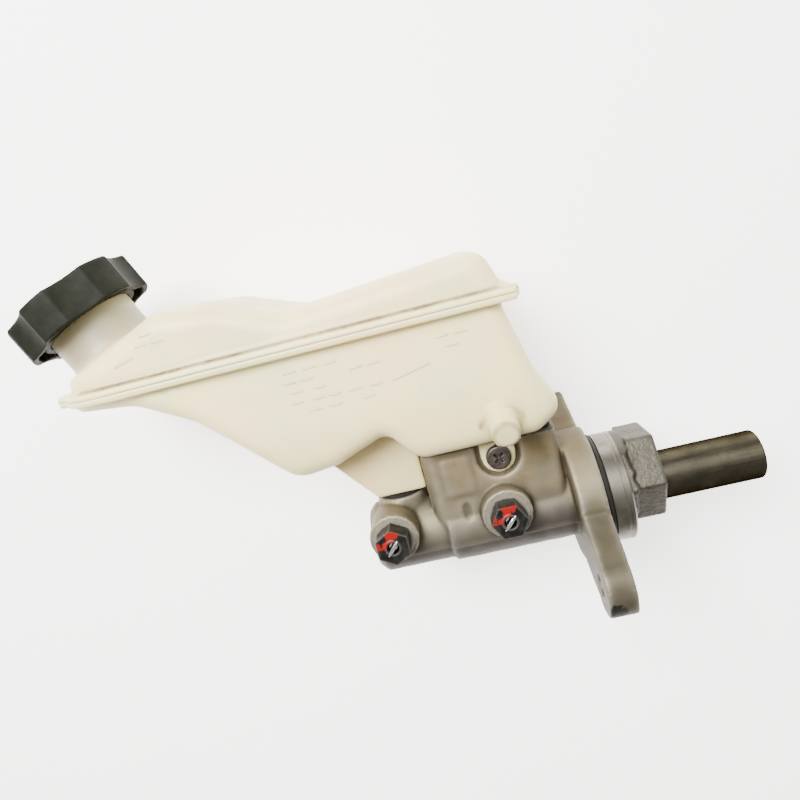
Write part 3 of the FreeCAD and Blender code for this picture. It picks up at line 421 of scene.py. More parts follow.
def milkyPolypropylene():
    # Injection moulded and aged: milky, lit some way in, with a satin surface, brown dirt along the weld, and
    # painted shade in its hollows, towards the bottom, under the seam and along the bottom edge
    look = reservoirLook
    material, tree, place = startMaterial("milkyPolypropylene")
    cloud = addNode(tree, "TexNoise", {"Vector": place, "Scale": 1 / (look["cloud"] * mm), "Detail": 2.0})
    cloudAmount = addNode(tree, "MapRange", {0: cloud.outputs[0], 1: 0.38, 2: 0.62})
    tint = addNode(tree, "TexNoise", {"Vector": place, "Scale": 1 / (look["tint"] * mm), "Detail": 1.0})
    tintAmount = addNode(tree, "MapRange", {0: tint.outputs[0], 1: 0.48, 2: 0.7, 4: 0.8})
    base = addNode(tree, "Mix", {0: cloudAmount.outputs[0], 6: linearColour(look["milk"]),
                                 7: linearColour(look["green"])}, data_type="RGBA")
    # painted shade in the hollows; the next attribute holds dirt, with painted shadow under the seam and
    # painted shade along the bottom edge
    hollow = addNode(tree, "Attribute", attribute_name="hollow")
    grimeAndShade = addNode(tree, "Attribute", attribute_name="grimeAndShade")
    hollowAmount = addNode(tree, "Math", {0: hollow.outputs["Fac"], 1: look["hollowShade"]},
                           operation="MULTIPLY")
    height = addNode(tree, "SeparateXYZ", {0: place}).outputs["Z"]
    # painted shade: darker towards the bottom
    lowerShadeAmount = addNode(tree, "MapRange", {0: height, 1: 66 * mm, 2: 38 * mm, 4: 0.55})
    broken = addNode(tree, "TexNoise", {"Vector": place, "Scale": 1 / (look["broken"] * mm), "Detail": 5.0,
                                        "Roughness": 0.7})
    brokenAmount = addNode(tree, "MapRange", {0: broken.outputs[0], 1: 0.38, 2: 0.58, 3: 0.7, 4: 1.0})
    grimeAndShadeAmount = addNode(tree, "Math", {0: grimeAndShade.outputs["Fac"], 1: brokenAmount.outputs[0]},
                          operation="MULTIPLY")
    neck = addNode(tree, "Attribute", attribute_name="neck")
    neckAmount = addNode(tree, "Math", {0: neck.outputs["Fac"], 1: look["neckShade"]}, operation="MULTIPLY")
    specks = addNode(tree, "TexVoronoi", {"Vector": place, "Scale": 1 / (look["speck"] * mm)})
    speck = addNode(tree, "MapRange", {0: specks.outputs["Distance"], 1: 0.055, 2: 0.04})
    rare = addNode(tree, "MapRange", {0: broken.outputs[0], 1: 0.56, 2: 0.6})
    speckAmount = addNode(tree, "Math", {0: speck.outputs[0], 1: rare.outputs[0]}, operation="MULTIPLY")
    colour = base.outputs[2]
    for amount, coat in ((tintAmount, "pink"), (lowerShadeAmount, "low"), (hollowAmount, "brown"),
                         (grimeAndShadeAmount, "line"), (neckAmount, "neck"), (speckAmount, "fleck")):
        over = {0: amount.outputs[0], 6: colour, 7: linearColour(look[coat])}
        colour = addNode(tree, "Mix", over, data_type="RGBA").outputs[2]
    wave = addNode(tree, "TexNoise", {"Vector": place, "Scale": 1 / (look["wave"] * mm), "Detail": 2.0})
    fine = addNode(tree, "TexNoise", {"Vector": place, "Scale": 1 / (look["fine"] * mm), "Detail": 2.0})
    flow = addNode(tree, "Bump", {"Strength": 0.35, "Distance": look["waveDepth"] * mm,
                                  "Height": wave.outputs[0]})
    skin = addNode(tree, "Bump", {"Strength": 0.25, "Distance": look["fineDepth"] * mm,
                                  "Height": fine.outputs[0], "Normal": flow.outputs[0]})
    rough = addNode(tree, "MapRange", {0: broken.outputs[0], 3: 0.38, 4: 0.52})
    shader = addNode(tree, "BsdfPrincipled", {
        "Base Color": colour, "Roughness": rough.outputs[0], "IOR": 1.49, "Normal": skin.outputs[0],
        "Subsurface Weight": 0.75, "Subsurface Radius": (1.0, 0.92, 0.72),
        "Subsurface Scale": look["lightReach"] * mm})
    closeMaterial(tree, shader)
    return material


def mottledFinish(name, first, second, mottle, metallic, roughness, grain, depth, ior=1.5, dullness=0.5):
    # an even material with a soft mottle and a fine grain, sizes in mm
    material, tree, place = startMaterial(name)
    blotch = addNode(tree, "TexNoise", {"Vector": place, "Scale": 1 / (mottle * mm), "Detail": 4.0,
                                        "Roughness": 0.6})
    amount = addNode(tree, "MapRange", {0: blotch.outputs[0], 1: 0.36, 2: 0.66})
    colour = addNode(tree, "Mix", {0: amount.outputs[0], 6: linearColour(first), 7: linearColour(second)},
                     data_type="RGBA")
    fine = addNode(tree, "TexNoise", {"Vector": place, "Scale": 1 / (grain * mm), "Detail": 3.0})
    rough = addNode(tree, "MapRange", {0: fine.outputs[0], 3: roughness - 0.08, 4: roughness + 0.08})
    skin = addNode(tree, "Bump", {"Strength": 0.4, "Distance": depth * mm, "Height": fine.outputs[0]})
    shader = addNode(tree, "BsdfPrincipled", {"Base Color": colour.outputs[2], "Metallic": metallic,
                                              "Roughness": rough.outputs[0], "Normal": skin.outputs[0]})
    if not metallic:
        shader.inputs["IOR"].default_value = ior
        shader.inputs["Specular IOR Level"].default_value = dullness
    closeMaterial(tree, shader)
    return material


plungerLook = {"dark": "#3B372D", "light": "#4C483D", "glance": "#3A382F", "scuff": 0.8, "stretch": 0.08,
               "scuffDepth": 0.01, "bloom": 11.0}


def hardAnodisedAluminium():
    # Hard anodised and honed: satin olive-black with faint scuffs along the stroke
    look = plungerLook
    material, tree, place = startMaterial("hardAnodisedAluminium")
    stretch = addNode(tree, "Mapping", {"Vector": place, "Scale": (look["stretch"], 1, 1)})
    scuffs = addNode(tree, "TexNoise", {"Vector": stretch.outputs[0], "Scale": 1 / (look["scuff"] * mm),
                                        "Detail": 4.0})
    bloom = addNode(tree, "TexNoise", {"Vector": place, "Scale": 1 / (look["bloom"] * mm), "Detail": 4.0,
                                       "Roughness": 0.65})
    amount = addNode(tree, "MapRange", {0: bloom.outputs[0], 1: 0.35, 2: 0.7})
    colour = addNode(tree, "Mix", {0: amount.outputs[0], 6: linearColour(look["dark"]),
                                   7: linearColour(look["light"])}, data_type="RGBA")
    rough = addNode(tree, "MapRange", {0: scuffs.outputs[0], 1: 0.3, 2: 0.7, 3: 0.3, 4: 0.46})
    skin = addNode(tree, "Bump", {"Strength": 0.15, "Distance": look["scuffDepth"] * mm,
                                  "Height": scuffs.outputs[0]})
    shader = addNode(tree, "BsdfPrincipled", {"Base Color": colour.outputs[2], "Metallic": 1.0,
                                              "Specular Tint": linearColour(look["glance"]),
                                              "Roughness": rough.outputs[0], "Normal": skin.outputs[0]})
    closeMaterial(tree, shader)
    return material


# each dab of paint: inner and outer radius in mm, start and end angle on the face in degrees
nutSteel = {
    "coat": "#0A0A09", "rubbed": "#1F1E1C", "edge": "#5C5A54", "edgeWear": 0.7, "paint": "#6E0F0A",
    "dabs": ((4.3, 7.2, 58, 112), (2.7, 4.4, 75, 178), (5.0, 6.9, 150, 179)), "ragged": 1.6, "ragDepth": 0.9,
    "paintReach": (1.1, 0.6), "rub": 3.0, "grain": 0.4, "grainDepth": 0.03,
}


def blackNutSteel(name, centre, faceY):
    # Black coated steel: satin black, dull grey where it is rubbed, with dabs of red paint on the end face
    look = nutSteel
    material, tree, place = startMaterial(name)
    middle = addNode(tree, "Mapping", {"Vector": place, "Location": [-c for c in centre]})
    xyz = addNode(tree, "SeparateXYZ", {0: middle.outputs[0]})
    ragged = addNode(tree, "TexNoise", {"Vector": place, "Scale": 1 / (look["ragged"] * mm), "Detail": 3.0})
    swing = look["ragDepth"] * mm
    shake = addNode(tree, "MapRange", {0: ragged.outputs[0], 1: 0.3, 2: 0.7, 3: -swing, 4: swing})
    flat = addNode(tree, "CombineXYZ", {0: xyz.outputs["X"], 2: xyz.outputs["Z"]})
    reach = addNode(tree, "VectorMath", {0: flat.outputs[0]}, operation="LENGTH")
    loose = addNode(tree, "Math", {0: reach.outputs["Value"], 1: shake.outputs[0]}, operation="ADD")
    angle = addNode(tree, "Math", {0: xyz.outputs["Z"], 1: xyz.outputs["X"]}, operation="ARCTAN2")
    wet = None
    for inner, outer, start, end in look["dabs"]:
        between = addNode(tree, "Math", {0: loose.outputs[0], 1: (inner + outer) / 2 * mm,
                                         2: (outer - inner) / 2 * mm}, operation="COMPARE")
        sector = addNode(tree, "Math", {0: angle.outputs[0], 1: math.radians((start + end) / 2),
                                        2: math.radians((end - start) / 2)}, operation="COMPARE")
        dab = addNode(tree, "Math", {0: between.outputs[0], 1: sector.outputs[0]}, operation="MULTIPLY")
        wet = dab if wet is None else addNode(tree, "Math", {0: wet.outputs[0], 1: dab.outputs[0]},
                                              operation="MAXIMUM")
    fades, full = ((faceY + reach) * mm for reach in look["paintReach"])
    onFace = addNode(tree, "MapRange", {0: xyz.outputs["Y"], 1: fades, 2: full})
    red = addNode(tree, "Math", {0: wet.outputs[0], 1: onFace.outputs[0]}, operation="MULTIPLY")
    rub = addNode(tree, "TexNoise", {"Vector": place, "Scale": 1 / (look["rub"] * mm), "Detail": 4.0})
    rubAmount = addNode(tree, "MapRange", {0: rub.outputs[0], 1: 0.42, 2: 0.72})
    coat = addNode(tree, "Mix", {0: rubAmount.outputs[0], 6: linearColour(look["coat"]),
                                 7: linearColour(look["rubbed"])}, data_type="RGBA")
    worn = addNode(tree, "Attribute", attribute_name="worn")
    wornAmount = addNode(tree, "Math", {0: worn.outputs["Fac"], 1: look["edgeWear"]}, operation="MULTIPLY")
    edge = addNode(tree, "Mix", {0: wornAmount.outputs[0], 6: coat.outputs[2], 7: linearColour(look["edge"])},
                   data_type="RGBA")
    colour = addNode(tree, "Mix", {0: red.outputs[0], 6: edge.outputs[2], 7: linearColour(look["paint"])},
                     data_type="RGBA")
    fine = addNode(tree, "TexNoise", {"Vector": place, "Scale": 1 / (look["grain"] * mm), "Detail": 3.0})
    skin = addNode(tree, "Bump", {"Strength": 0.3, "Distance": look["grainDepth"] * mm,
                                  "Height": fine.outputs[0]})
    shader = addNode(tree, "BsdfPrincipled", {"Base Color": colour.outputs[2], "Specular IOR Level": 0.14,
                                              "Roughness": 0.42, "Normal": skin.outputs[0]})
    closeMaterial(tree, shader)
    return material


finishes = {
    "hardAnodisedAluminium": hardAnodisedAluminium(),
    "dieCastAluminium": dieCastAluminium(),
    "turnedAluminium": turnedAluminium(),
    "sandCastAluminium": sandCastAluminium(),
    "milkyPolypropylene": milkyPolypropylene(),
}
# name, two colours, size of the mottle, metallic, roughness, size and depth of the grain, and what differs
evenFinishes = (
    # Moulded rubber: matt black with a trace of dust
    ("mouldedRubber", "#100F0D", "#1A1813", 6, 0, 0.62, 0.5, 0.02, {"dullness": 0.2}),
    # Drawn spring wire under oil: dark and glossy
    ("oiledSpringSteel", "#6B6B6C", "#55555A", 4, 1, 0.34, 0.4, 0.01, {}),
    # Zinc plate: pale silver with a soft sheen
    ("zincPlatedSteel", "#C4C4BE", "#A6A69E", 5, 1, 0.34, 0.4, 0.01, {}),
    # Moulded nylon: even dark grey, satin
    ("mouldedNylon", "#3A3A37", "#2B2B29", 8, 0, 0.5, 0.5, 0.02, {}),
    # Thin moulded polypropylene: off-white, satin
    ("mouldedBasket", "#E6E2D2", "#D6D1BD", 9, 0, 0.45, 0.6, 0.02, {"ior": 1.49}),
    # Foamed nitrile: dull black with open pores
    ("foamedFloat", "#2C2C2B", "#3D3C39", 3, 0, 0.7, 0.5, 0.05, {}),
    # Sintered ferrite: dark grey and grainy
    ("sinteredFerrite", "#3A3A3C", "#2A2A2B", 3, 0, 0.6, 0.4, 0.03, {}),
    # Freshly cut and pinched steel pipe: bright and streaky
    ("cutPipeSteel", "#E4E4E0", "#B9B9B4", 2, 1, 0.22, 0.5, 0.03, {}),
    # Oiled steel screw: brown-black, glinting at its edges
    ("oiledScrewSteel", "#4C433D", "#2E2825", 2.5, 0.7, 0.42, 0.4, 0.04, {}),
    # Moulded and handled cap: satin olive-black with dust in the grain
    ("mouldedCapPlastic", "#1C1D17", "#12130E", 9, 0, 0.55, 0.8, 0.03, {"dullness": 0.06}),
    # Moulded sensor body: even black, satin
    ("mouldedSensorPlastic", "#2A2A29", "#1F1F1E", 7, 0, 0.45, 0.6, 0.02, {}),
)
for name, *numbers, extras in evenFinishes:
    finishes[name] = mottledFinish(name, *numbers, **extras)

slotFinish = {
    "cast_aluminium": "dieCastAluminium", "black_piston": "hardAnodisedAluminium",
    "zinc_steel": "zincPlatedSteel", "spring_steel": "oiledSpringSteel", "rubber": "mouldedRubber",
    "bush_plastic": "mouldedNylon", "nut_steel": "zincPlatedSteel", "pipe_steel": "cutPipeSteel",
    "reservoir_plastic": "milkyPolypropylene", "cap_plastic": "mouldedCapPlastic",
    "strainer_plastic": "mouldedBasket", "float_plastic": "foamedFloat", "magnet": "sinteredFerrite",
    "sensor_plastic": "mouldedSensorPlastic", "screw_steel": "oiledScrewSteel",
}
for part in frame["record"]["subparts"]:
    cadNode = frame["nodes"][part["node"]]
    cadNode.data.materials.clear()
    cadNode.data.materials.append(finishes[slotFinish[part["material_slot"]]])
print("materials")


# Casting

# barrels: radius and two ends of each ridge; pad: ends along X and Z, then how far it stands
bodySkin = {
    "voxel": 0.75, "rounds": 5, "lump": 6.0, "lumpDepth": 0.16, "boreClear": 10.75, "boreGuard": 14.6,
    "barrels": ((15.4, -94, -60), (17.0, -63, -10)),
    "ridge": (1.3, 0.35), "ridgeFall": 16.0, "ridgeRoot": 2.5,
    "pad": (-62.5, -47.5, 15.0, 34.0, 0.55), "padFace": -15.5, "padRoot": -12, "padRound": 2.5,
    "web": ((-68.7, -11, 12), (-66, 11, 35)), "dimple": (-54.5, 9.0, 2.2, 4.2, 0.7), "flangeFace": -0.03,
    "ports": ((-38.7, 7.0), (-86.0, 7.0)), "bossFace": -22.5, "faceRing": 8.6,
    "earReach": 44.0, "earAngle": 32.0, "earRadius": 12.5,
    "crudAngle": 30.0, "crudPlace": -8.0, "crudSize": (3.4, 4.8), "crudGrain": 1.1, "towerRim": 34.9,
}


def addBlock(bm, low, high, bevel=0.0, segments=3):
    made = bmesh.ops.create_cube(bm, size=1)["verts"]
    size = [(h - l) * mm for l, h in zip(low, high)]
    centre = [(h + l) / 2 * mm for l, h in zip(low, high)]
    bmesh.ops.transform(bm, verts=made, matrix=Matrix.Translation(centre) @ Matrix.Diagonal((*size, 1)))
    if bevel:
        edges = list({e for v in made for e in v.link_edges})
        bmesh.ops.bevel(bm, geom=edges, offset=bevel * mm, segments=segments, profile=0.5, affect="EDGES",
                        material=-1)


def pressSkin(points, normals):
    # shapes the points of the cast skin, in place
    look = bodySkin
    x, y, z = (points[:, i] / mm for i in range(3))
    away = np.hypot(y, z)
    # oval dimple left by an ejector pin
    cx, cz, rx, rz, depth = look["dimple"]
    oval = np.clip(1 - ((x - cx) / rx) ** 2 - ((z - cz) / rz) ** 2, 0, 1)
    points[:, 1] += np.where(y < -8, oval ** 0.5 * depth * mm, 0)
    # cast skin is never quite flat
    lumps = unevenness(points, look["lump"])
    outer = np.clip((away - look["boreGuard"]) / 1.5, 0, 1)
    points += normals * (lumps * look["lumpDepth"] * mm * outer)[:, None]
    # softening narrows the bore, which has to clear the plunger
    inward = (normals[:, 1] * y + normals[:, 2] * z) / np.maximum(away, 0.1)
    wall = (away > look["boreClear"] - 1.5) & (away < look["boreClear"]) & (inward < -0.5)
    points[wall, 1:] *= (look["boreClear"] / away[wall])[:, None]


def markCastSkin(mesh, points, x, y, z):
    # two attributes: machined for the faced ports, and one for the crud on the ear and for the tower's rim,
    # darkened by grease and by painted shade of the gap under the reservoir
    look = bodySkin
    cut = np.zeros(len(points))
    for portX, portZ in look["ports"]:
        ring = np.hypot(x - portX, z - portZ)
        cut = np.maximum(cut, ((y < look["bossFace"] + 0.5) & (ring < look["faceRing"])).astype(float))
    angle = math.radians(look["earAngle"])
    tip = -look["earReach"] * np.array([math.cos(angle), math.sin(angle)])
    turn = math.radians(look["crudAngle"])
    spot = tip - np.array([math.cos(turn), math.sin(turn)]) * look["earRadius"]
    length, width = look["crudSize"]
    crud = np.hypot((x - look["crudPlace"]) / length, np.hypot(y - spot[0], z - spot[1]) / width)
    rough = unevenness(points, look["crudGrain"])
    greaseAndShade = np.clip((1.0 + rough * 0.5 - crud) * 6, 0, 1)
    # the tower's rim under the reservoir: grease and painted shade of the gap
    greaseAndShade = np.maximum(greaseAndShade, np.clip((z - look["towerRim"] + rough * 0.5) / 0.8, 0, 0.85))
    markPoints(mesh, "machined", cut)
    markPoints(mesh, "greaseAndGapShade", greaseAndShade)


def cutAtFlange(mesh):
    # the turned collar and the nose are pieces of their own, so the cast skin ends flat at the flange
    bm = bmesh.new()
    bm.from_mesh(mesh)
    sliced = bmesh.ops.bisect_plane(bm, geom=bm.verts[:] + bm.edges[:] + bm.faces[:], dist=1e-7,
                                    plane_co=(bodySkin["flangeFace"] * mm, 0, 0), plane_no=(1, 0, 0),
                                    clear_outer=True)
    rim = [e for e in sliced["geom_cut"] if isinstance(e, bmesh.types.BMEdge)]
    bmesh.ops.triangle_fill(bm, edges=rim, use_beauty=True, use_dissolve=False, normal=(1, 0, 0))
    for face in bm.faces:
        face.smooth = abs(face.normal.x) < 0.999
    bm.to_mesh(mesh)
    bm.free()


def buildCastBody():
    look = bodySkin
    bm = copyOfNode("cylinder_body")
    lowest, highest = (np.array([pick(v.co[i] for v in bm.verts) for i in range(3)]) for pick in (min, max))
    fall = math.radians(look["ridgeFall"])
    width, stand = look["ridge"]
    for radius, x0, x1 in look["barrels"]:
        y, z = -radius * math.cos(fall), -radius * math.sin(fall)
        addBlock(bm, (x0, y - stand, z - width / 2), (x1, y + look["ridgeRoot"], z + width / 2))
    x0, x1, z0, z1, rise = look["pad"]
    addBlock(bm, (x0, look["padFace"] - rise, z0), (x1, look["padRoot"], z1), look["padRound"])
    addBlock(bm, *look["web"])
    piece = softened("castBody", bm, look["voxel"], look["rounds"])
    mesh = piece.data
    points = pointsOf(mesh)
    x, y, z = (points[:, i] / mm for i in range(3))
    pressSkin(points, normalsOf(mesh))
    points = np.clip(points, lowest, highest)
    putPoints(mesh, points)
    markSkin(piece, 8, 0.55)
    markCastSkin(mesh, points, x, y, z)
    cutAtFlange(mesh)
    return settle(piece, "housing", "cast_aluminium", finishes["dieCastAluminium"], "cylinder_body")


collar = {"groove": (2.65, 21.35), "radius": 23.15, "length": 11.1, "edge": 0.7, "chamfer": 0.35,
          "band": (3.2, 2.0), "bandSlope": 0.2, "bandDepth": 0.12, "mouth": 13.0, "turns": 144}


def buildCollar():
    look = collar
    grooveEnd, grooveRadius = look["groove"]
    r, length, edge, chamfer = look["radius"], look["length"], look["edge"], look["chamfer"]
    bandStart, bandEnd = (length - back for back in look["band"])
    slope, low = look["bandSlope"], r - look["bandDepth"]
    profile = [(0.0, look["mouth"]), (0.0, grooveRadius), (grooveEnd, grooveRadius), (grooveEnd, r - chamfer),
               (grooveEnd + chamfer, r), (bandStart, r), (bandStart + slope, low), (bandEnd - slope, low),
               (bandEnd, r), (length - edge, r), (length, r - edge), (length, look["mouth"])]
    piece = pieceFromBmesh("turnedCollar", spunProfile(profile, look["turns"]), 30)
    return settle(piece, "housing", "cast_aluminium", finishes["turnedAluminium"], "cylinder_body")


nose = {"corner": 20.5, "lift": 4.5, "root": 8.7, "mouth": 13.0, "flare": 1.6, "voxel": 0.42, "edge": 1.1,
        "footEnd": 13.9, "footFade": 1.2, "raggedSize": 4.5, "coarseSize": 1.3, "coarseDepth": 0.1,
        "underCollar": 22.95, "collarEnd": 14.2}


def drilledHexagon():
    # a hexagonal bar along the axis with a round bore
    look = nose
    bm = bmesh.new()
    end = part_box("cylinder_body")[1][0] / mm
    span = end - look["root"]
    centre = ((look["root"] + span / 2) * mm, 0, look["lift"] * mm)
    made = bmesh.ops.create_cone(bm, cap_ends=True, segments=6, radius1=look["corner"] * mm,
                                 radius2=look["corner"] * mm, depth=span * mm)["verts"]
    place = Matrix.Translation(centre) @ Matrix.Rotation(math.radians(90), 4, "Y")
    bmesh.ops.transform(bm, verts=made, matrix=place)
    # two of its corners point sideways
    if max(abs(v.co.y) for v in made) < look["corner"] * mm * 0.95:
        bmesh.ops.rotate(bm, verts=made, cent=(0, 0, look["lift"] * mm),
                         matrix=Matrix.Rotation(math.radians(30), 3, "X"))
    bmesh.ops.bevel(bm, geom=bm.edges[:], offset=look["edge"] * mm, segments=3, profile=0.5, affect="EDGES",
                    material=-1)
    piece = pieceFromBmesh("castNose", bm)
    bore = [(0, 0), (0, look["mouth"]), (end + 5, look["mouth"]), (end + 5, 0)]
    drill = pieceFromBmesh("drill", spunProfile(bore, 96))
    hole = piece.modifiers.new("mouth", "BOOLEAN")
    hole.operation = "DIFFERENCE"
    hole.solver = "EXACT"
    hole.object = drill
    settleModifiers(piece)
    bpy.data.objects.remove(drill)
    bm = bmesh.new()
    bm.from_mesh(piece.data)
    bpy.data.objects.remove(piece)
    return bm


def buildNose():
    look = nose
    piece = softened("castNose", drilledHexagon(), look["voxel"], 2)
    mesh = piece.data
    points = pointsOf(mesh)
    x, y, z = (points[:, i] / mm for i in range(3))
    out = np.stack([np.zeros(len(points)), y, z - look["lift"]], 1)
    reach = np.hypot(out[:, 1], out[:, 2])
    out /= np.maximum(reach, 1)[:, None]
    outside = (reach > look["mouth"] + 2.0).astype(float)
    # the foot spreads raggedly against the collar
    ragged = unevenness(points * (0.3, 1, 1), look["raggedSize"])
    coarse = unevenness(points, look["coarseSize"])
    foot = np.clip((look["footEnd"] + ragged * 1.6 - x) / look["footFade"], 0, 1)
    swell = foot * (look["flare"] + ragged * 0.5) + coarse * look["coarseDepth"]
    points += out * (outside * swell * mm)[:, None]
    # nothing stands above the collar's turned surface
    away = np.hypot(points[:, 1], points[:, 2]) / mm
    limit = look["underCollar"]
    cap = np.where((away > limit) & (x < look["collarEnd"]), limit / np.maximum(away, 1), 1.0)
    points[:, 1:] *= cap[:, None]
    putPoints(mesh, points)
    markSkin(piece, 6, 0.4)
    return settle(piece, "housing", "cast_aluminium", finishes["sandCastAluminium"], "cylinder_body")


buildCastBody()
buildCollar()
buildNose()
print("casting")


# Plunger

plunger = {"radius": 10.32, "edge": 1.0, "socket": 5.5, "depth": 30.0, "socketLip": 0.5, "drillPoint": 1.5,
           "cavity": 7.32, "cavityDepth": 20.0, "turns": 128}


def buildPlunger():
    look = plunger
    front, rear = (corner[0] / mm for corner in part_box("primary_piston"))
    r, edge, socket, lip = look["radius"], look["edge"], look["socket"], look["socketLip"]
    rounding = [(rear - edge + edge * math.sin(a), r - edge + edge * math.cos(a))
                for a in (i * math.pi / 8 for i in range(5))]
    cavityEnd = front + look["cavityDepth"]
    socketEnd = rear - look["depth"]
    pointEnd = socketEnd - look["drillPoint"]
    profile = ([(front, look["cavity"]), (front, r)] + rounding + [(rear, socket + lip),
                                                                   (rear - lip, socket),
                                                                   (socketEnd, socket), (pointEnd, 1.0),
                                                                   (pointEnd, 0), (cavityEnd, 0),
                                                                   (cavityEnd, look["cavity"])])
    piece = pieceFromBmesh("plungerRod", spunProfile(profile, look["turns"]), 30)
    return settle(piece, "primary_piston", "black_piston", finishes["hardAnodisedAluminium"],
                  "primary_piston")


buildPlunger()
print("plunger")


# Reservoir

shell = {
    "voxel": 1.0, "rounds": 6, "joint": 93.5, "holdNear": 1.3, "squareNear": 1.1, "squareUp": 0.3,
    "neckRadius": 18.5, "neckMouth": (-193.3, 0.0, 130.7), "lean": 24.0,
    "rootReach": 4.5, "rootOffset": 1.5, "rootAlong": (-46, -14), "rootRounds": 30,
    "sway": 28.0, "swayDepth": 0.35, "dirtPatch": 14.0,
    "lowerLine": (90.6, 0.7, 0.45), "upperLine": (96.5, 0.9), "topDirt": (104, 14),
    "lowestEdge": (37.9, 39.7),
}
nipple = {"root": (-32.8, -26.1, 49.0), "fall": 18.0, "rim": (4.9, 1.1), "rimFrom": 12.9, "foot": (4.2, 0.8),
          "footRadius": 9}
neckAxis = Vector((-math.sin(math.radians(shell["lean"])), 0, math.cos(math.radians(shell["lean"]))))


def fromMouth(points):
    # how far points lie along the neck's axis from its mouth, and out from that axis, in mm
    offset = points / mm - np.array(shell["neckMouth"])
    along = offset @ np.array(neckAxis)
    return along, np.linalg.norm(offset - along[:, None] * np.array(neckAxis), axis=1)


def easeNeckRoot(mesh):
    # the neck runs into the shell's top through a soft hollow
    along, aside = fromMouth(pointsOf(mesh))
    low, high = shell["rootAlong"]
    offRoot = np.abs(aside - shell["neckRadius"] - shell["rootOffset"])
    near = (offRoot < shell["rootReach"]) & (along < high) & (along > low)
    bm = bmesh.new()
    bm.from_mesh(mesh)
    bm.verts.ensure_lookup_table()
    chosen = [bm.verts[i] for i in np.nonzero(near)[0]]
    for _ in range(shell["rootRounds"]):
        bmesh.ops.smooth_vert(bm, verts=chosen, factor=0.5, use_axis_x=True, use_axis_y=True, use_axis_z=True)
    bm.to_mesh(mesh)
    bm.free()


def squareJoint(points, normals, lower):
    # the two halves are welded, so their edges meet with hardly a groove
    look = shell
    slant = normals[:, 2] * (1 if lower else -1)
    near = np.abs(points[:, 2] / mm - look["joint"]) < look["squareNear"]
    corner = near & (slant > 0.15) & (slant < 0.97)
    points += normals * (corner * look["squareUp"] * mm)[:, None]
    limit = look["joint"] * mm
    points[:, 2] = np.minimum(points[:, 2], limit) if lower else np.maximum(points[:, 2], limit)


def lowerGrimeAndShade(x, y, z, patches):
    # painted shadow under the seam, dirt round the nipple's rim, a darker ring round its foot, and dirt with
    # painted shade along the bottom edge
    # painted shadow under the seam flange
    height, width, strength = shell["lowerLine"]
    line = np.clip(1 - np.abs(z - height) / width, 0, 1) * strength
    fall = math.radians(nipple["fall"])
    way = np.array([0, -math.cos(fall), -math.sin(fall)])
    offset = np.stack([x, y, z], 1) - np.array(nipple["root"])
    along = offset @ way
    aside = np.linalg.norm(offset - along[:, None] * way, axis=1)
    radius, width = nipple["rim"]
    rim = np.clip(1.3 - np.abs(aside - radius) / width, 0, 1) * np.clip((along - nipple["rimFrom"]) / 0.8,
                                                                        0, 1)
    place, width = nipple["foot"]
    foot = np.clip(1 - np.abs(along - place) / width, 0, 1) * (aside < nipple["footRadius"])
    foot *= np.clip(0.6 + patches * 1.2, 0, 0.9)
    line = np.maximum(line, np.maximum(rim * (0.8 + patches * 0.8), foot))
    # dirt and painted shade along the bottom edge, where it meets the casting
    bottom, top = shell["lowestEdge"]
    return np.maximum(line, np.clip((top - z) / 0.7, 0, 0.9) * (z > bottom) * (x > -69))


def upperGrime(x, y, z, patches):
    # dirt on the seam, and a little of it over the top
    height, width = shell["upperLine"]
    line = np.clip(1.2 - np.abs(z - height) / width, 0, 1) * np.clip(0.95 + patches * 0.7, 0.55, 1)
    start, span = shell["topDirt"]
    toTop = np.clip((z - start) / span, 0, 1) * np.clip((x + 175) / 30, 0, 1) * 0.35
    return np.maximum(line, toTop * np.clip(0.3 + patches * 1.6, 0, 1))


def buildShell(name, node, lower):
    look = shell
    piece = softened(name, copyOfNode(node), look["voxel"], look["rounds"],
                     lambda p: (np.abs(p[:, 2] - look["joint"]) > look["holdNear"]).astype(float))
    mesh = piece.data
    points = pointsOf(mesh)
    squareJoint(points, normalsOf(mesh), lower)
    putPoints(mesh, points)
    if not lower:
        easeNeckRoot(mesh)
        points = pointsOf(mesh)
    normals = normalsOf(mesh)
    x, y, z = (points[:, i] / mm for i in range(3))
    outside = (np.abs(y) > 27.8) | (z > 100) | (z < 50)
    sway = unevenness(points, look["sway"]) * look["swayDepth"] * mm
    points += normals * (sway * (np.abs(z - look["joint"]) > 5))[:, None]
    putPoints(mesh, points)
    markSkin(piece, 10, 1.1)
    # dirt along the seams, and on the lower half painted shade under the seam and along the bottom edge
    grimeAndShade = (lowerGrimeAndShade if lower else upperGrime)(x, y, z, unevenness(points, look["dirtPatch"]))
    along, aside = fromMouth(points)
    markPoints(mesh, "grimeAndShade", np.clip(grimeAndShade, 0, 1) * outside)
    markPoints(mesh, "neck", np.clip((20.6 - aside) / 2.4, 0, 1) * np.clip((along + 33) / 8, 0, 1))
    return settle(piece, "housing", "reservoir_plastic", finishes["milkyPolypropylene"], node)


buildShell("lowerShell", "reservoir_lower", True)
buildShell("upperShell", "reservoir_upper", False)

marks = {
    "wall": -30.0, "stand": 0.35, "sunk": 0.5, "thick": 0.8, "round": 0.2, "barLength": 5.0,
    "lines": (((-70, 73.8), 16, 12), ((-171, 103.5), 9, 14)),
    "rows": ((84.5, (-109, -101, -93)), (80.5, (-110, -103, -84, -77)), (76.5, (-108, -99)),
             (72.5, (-109, -101, -94, -86, -78)), (68.5, (-103, -95, -82)), (84.0, (-50, -43)),
             (80.0, (-47,)), (108.0, (-161, -154)), (111.5, (-158,))),
}


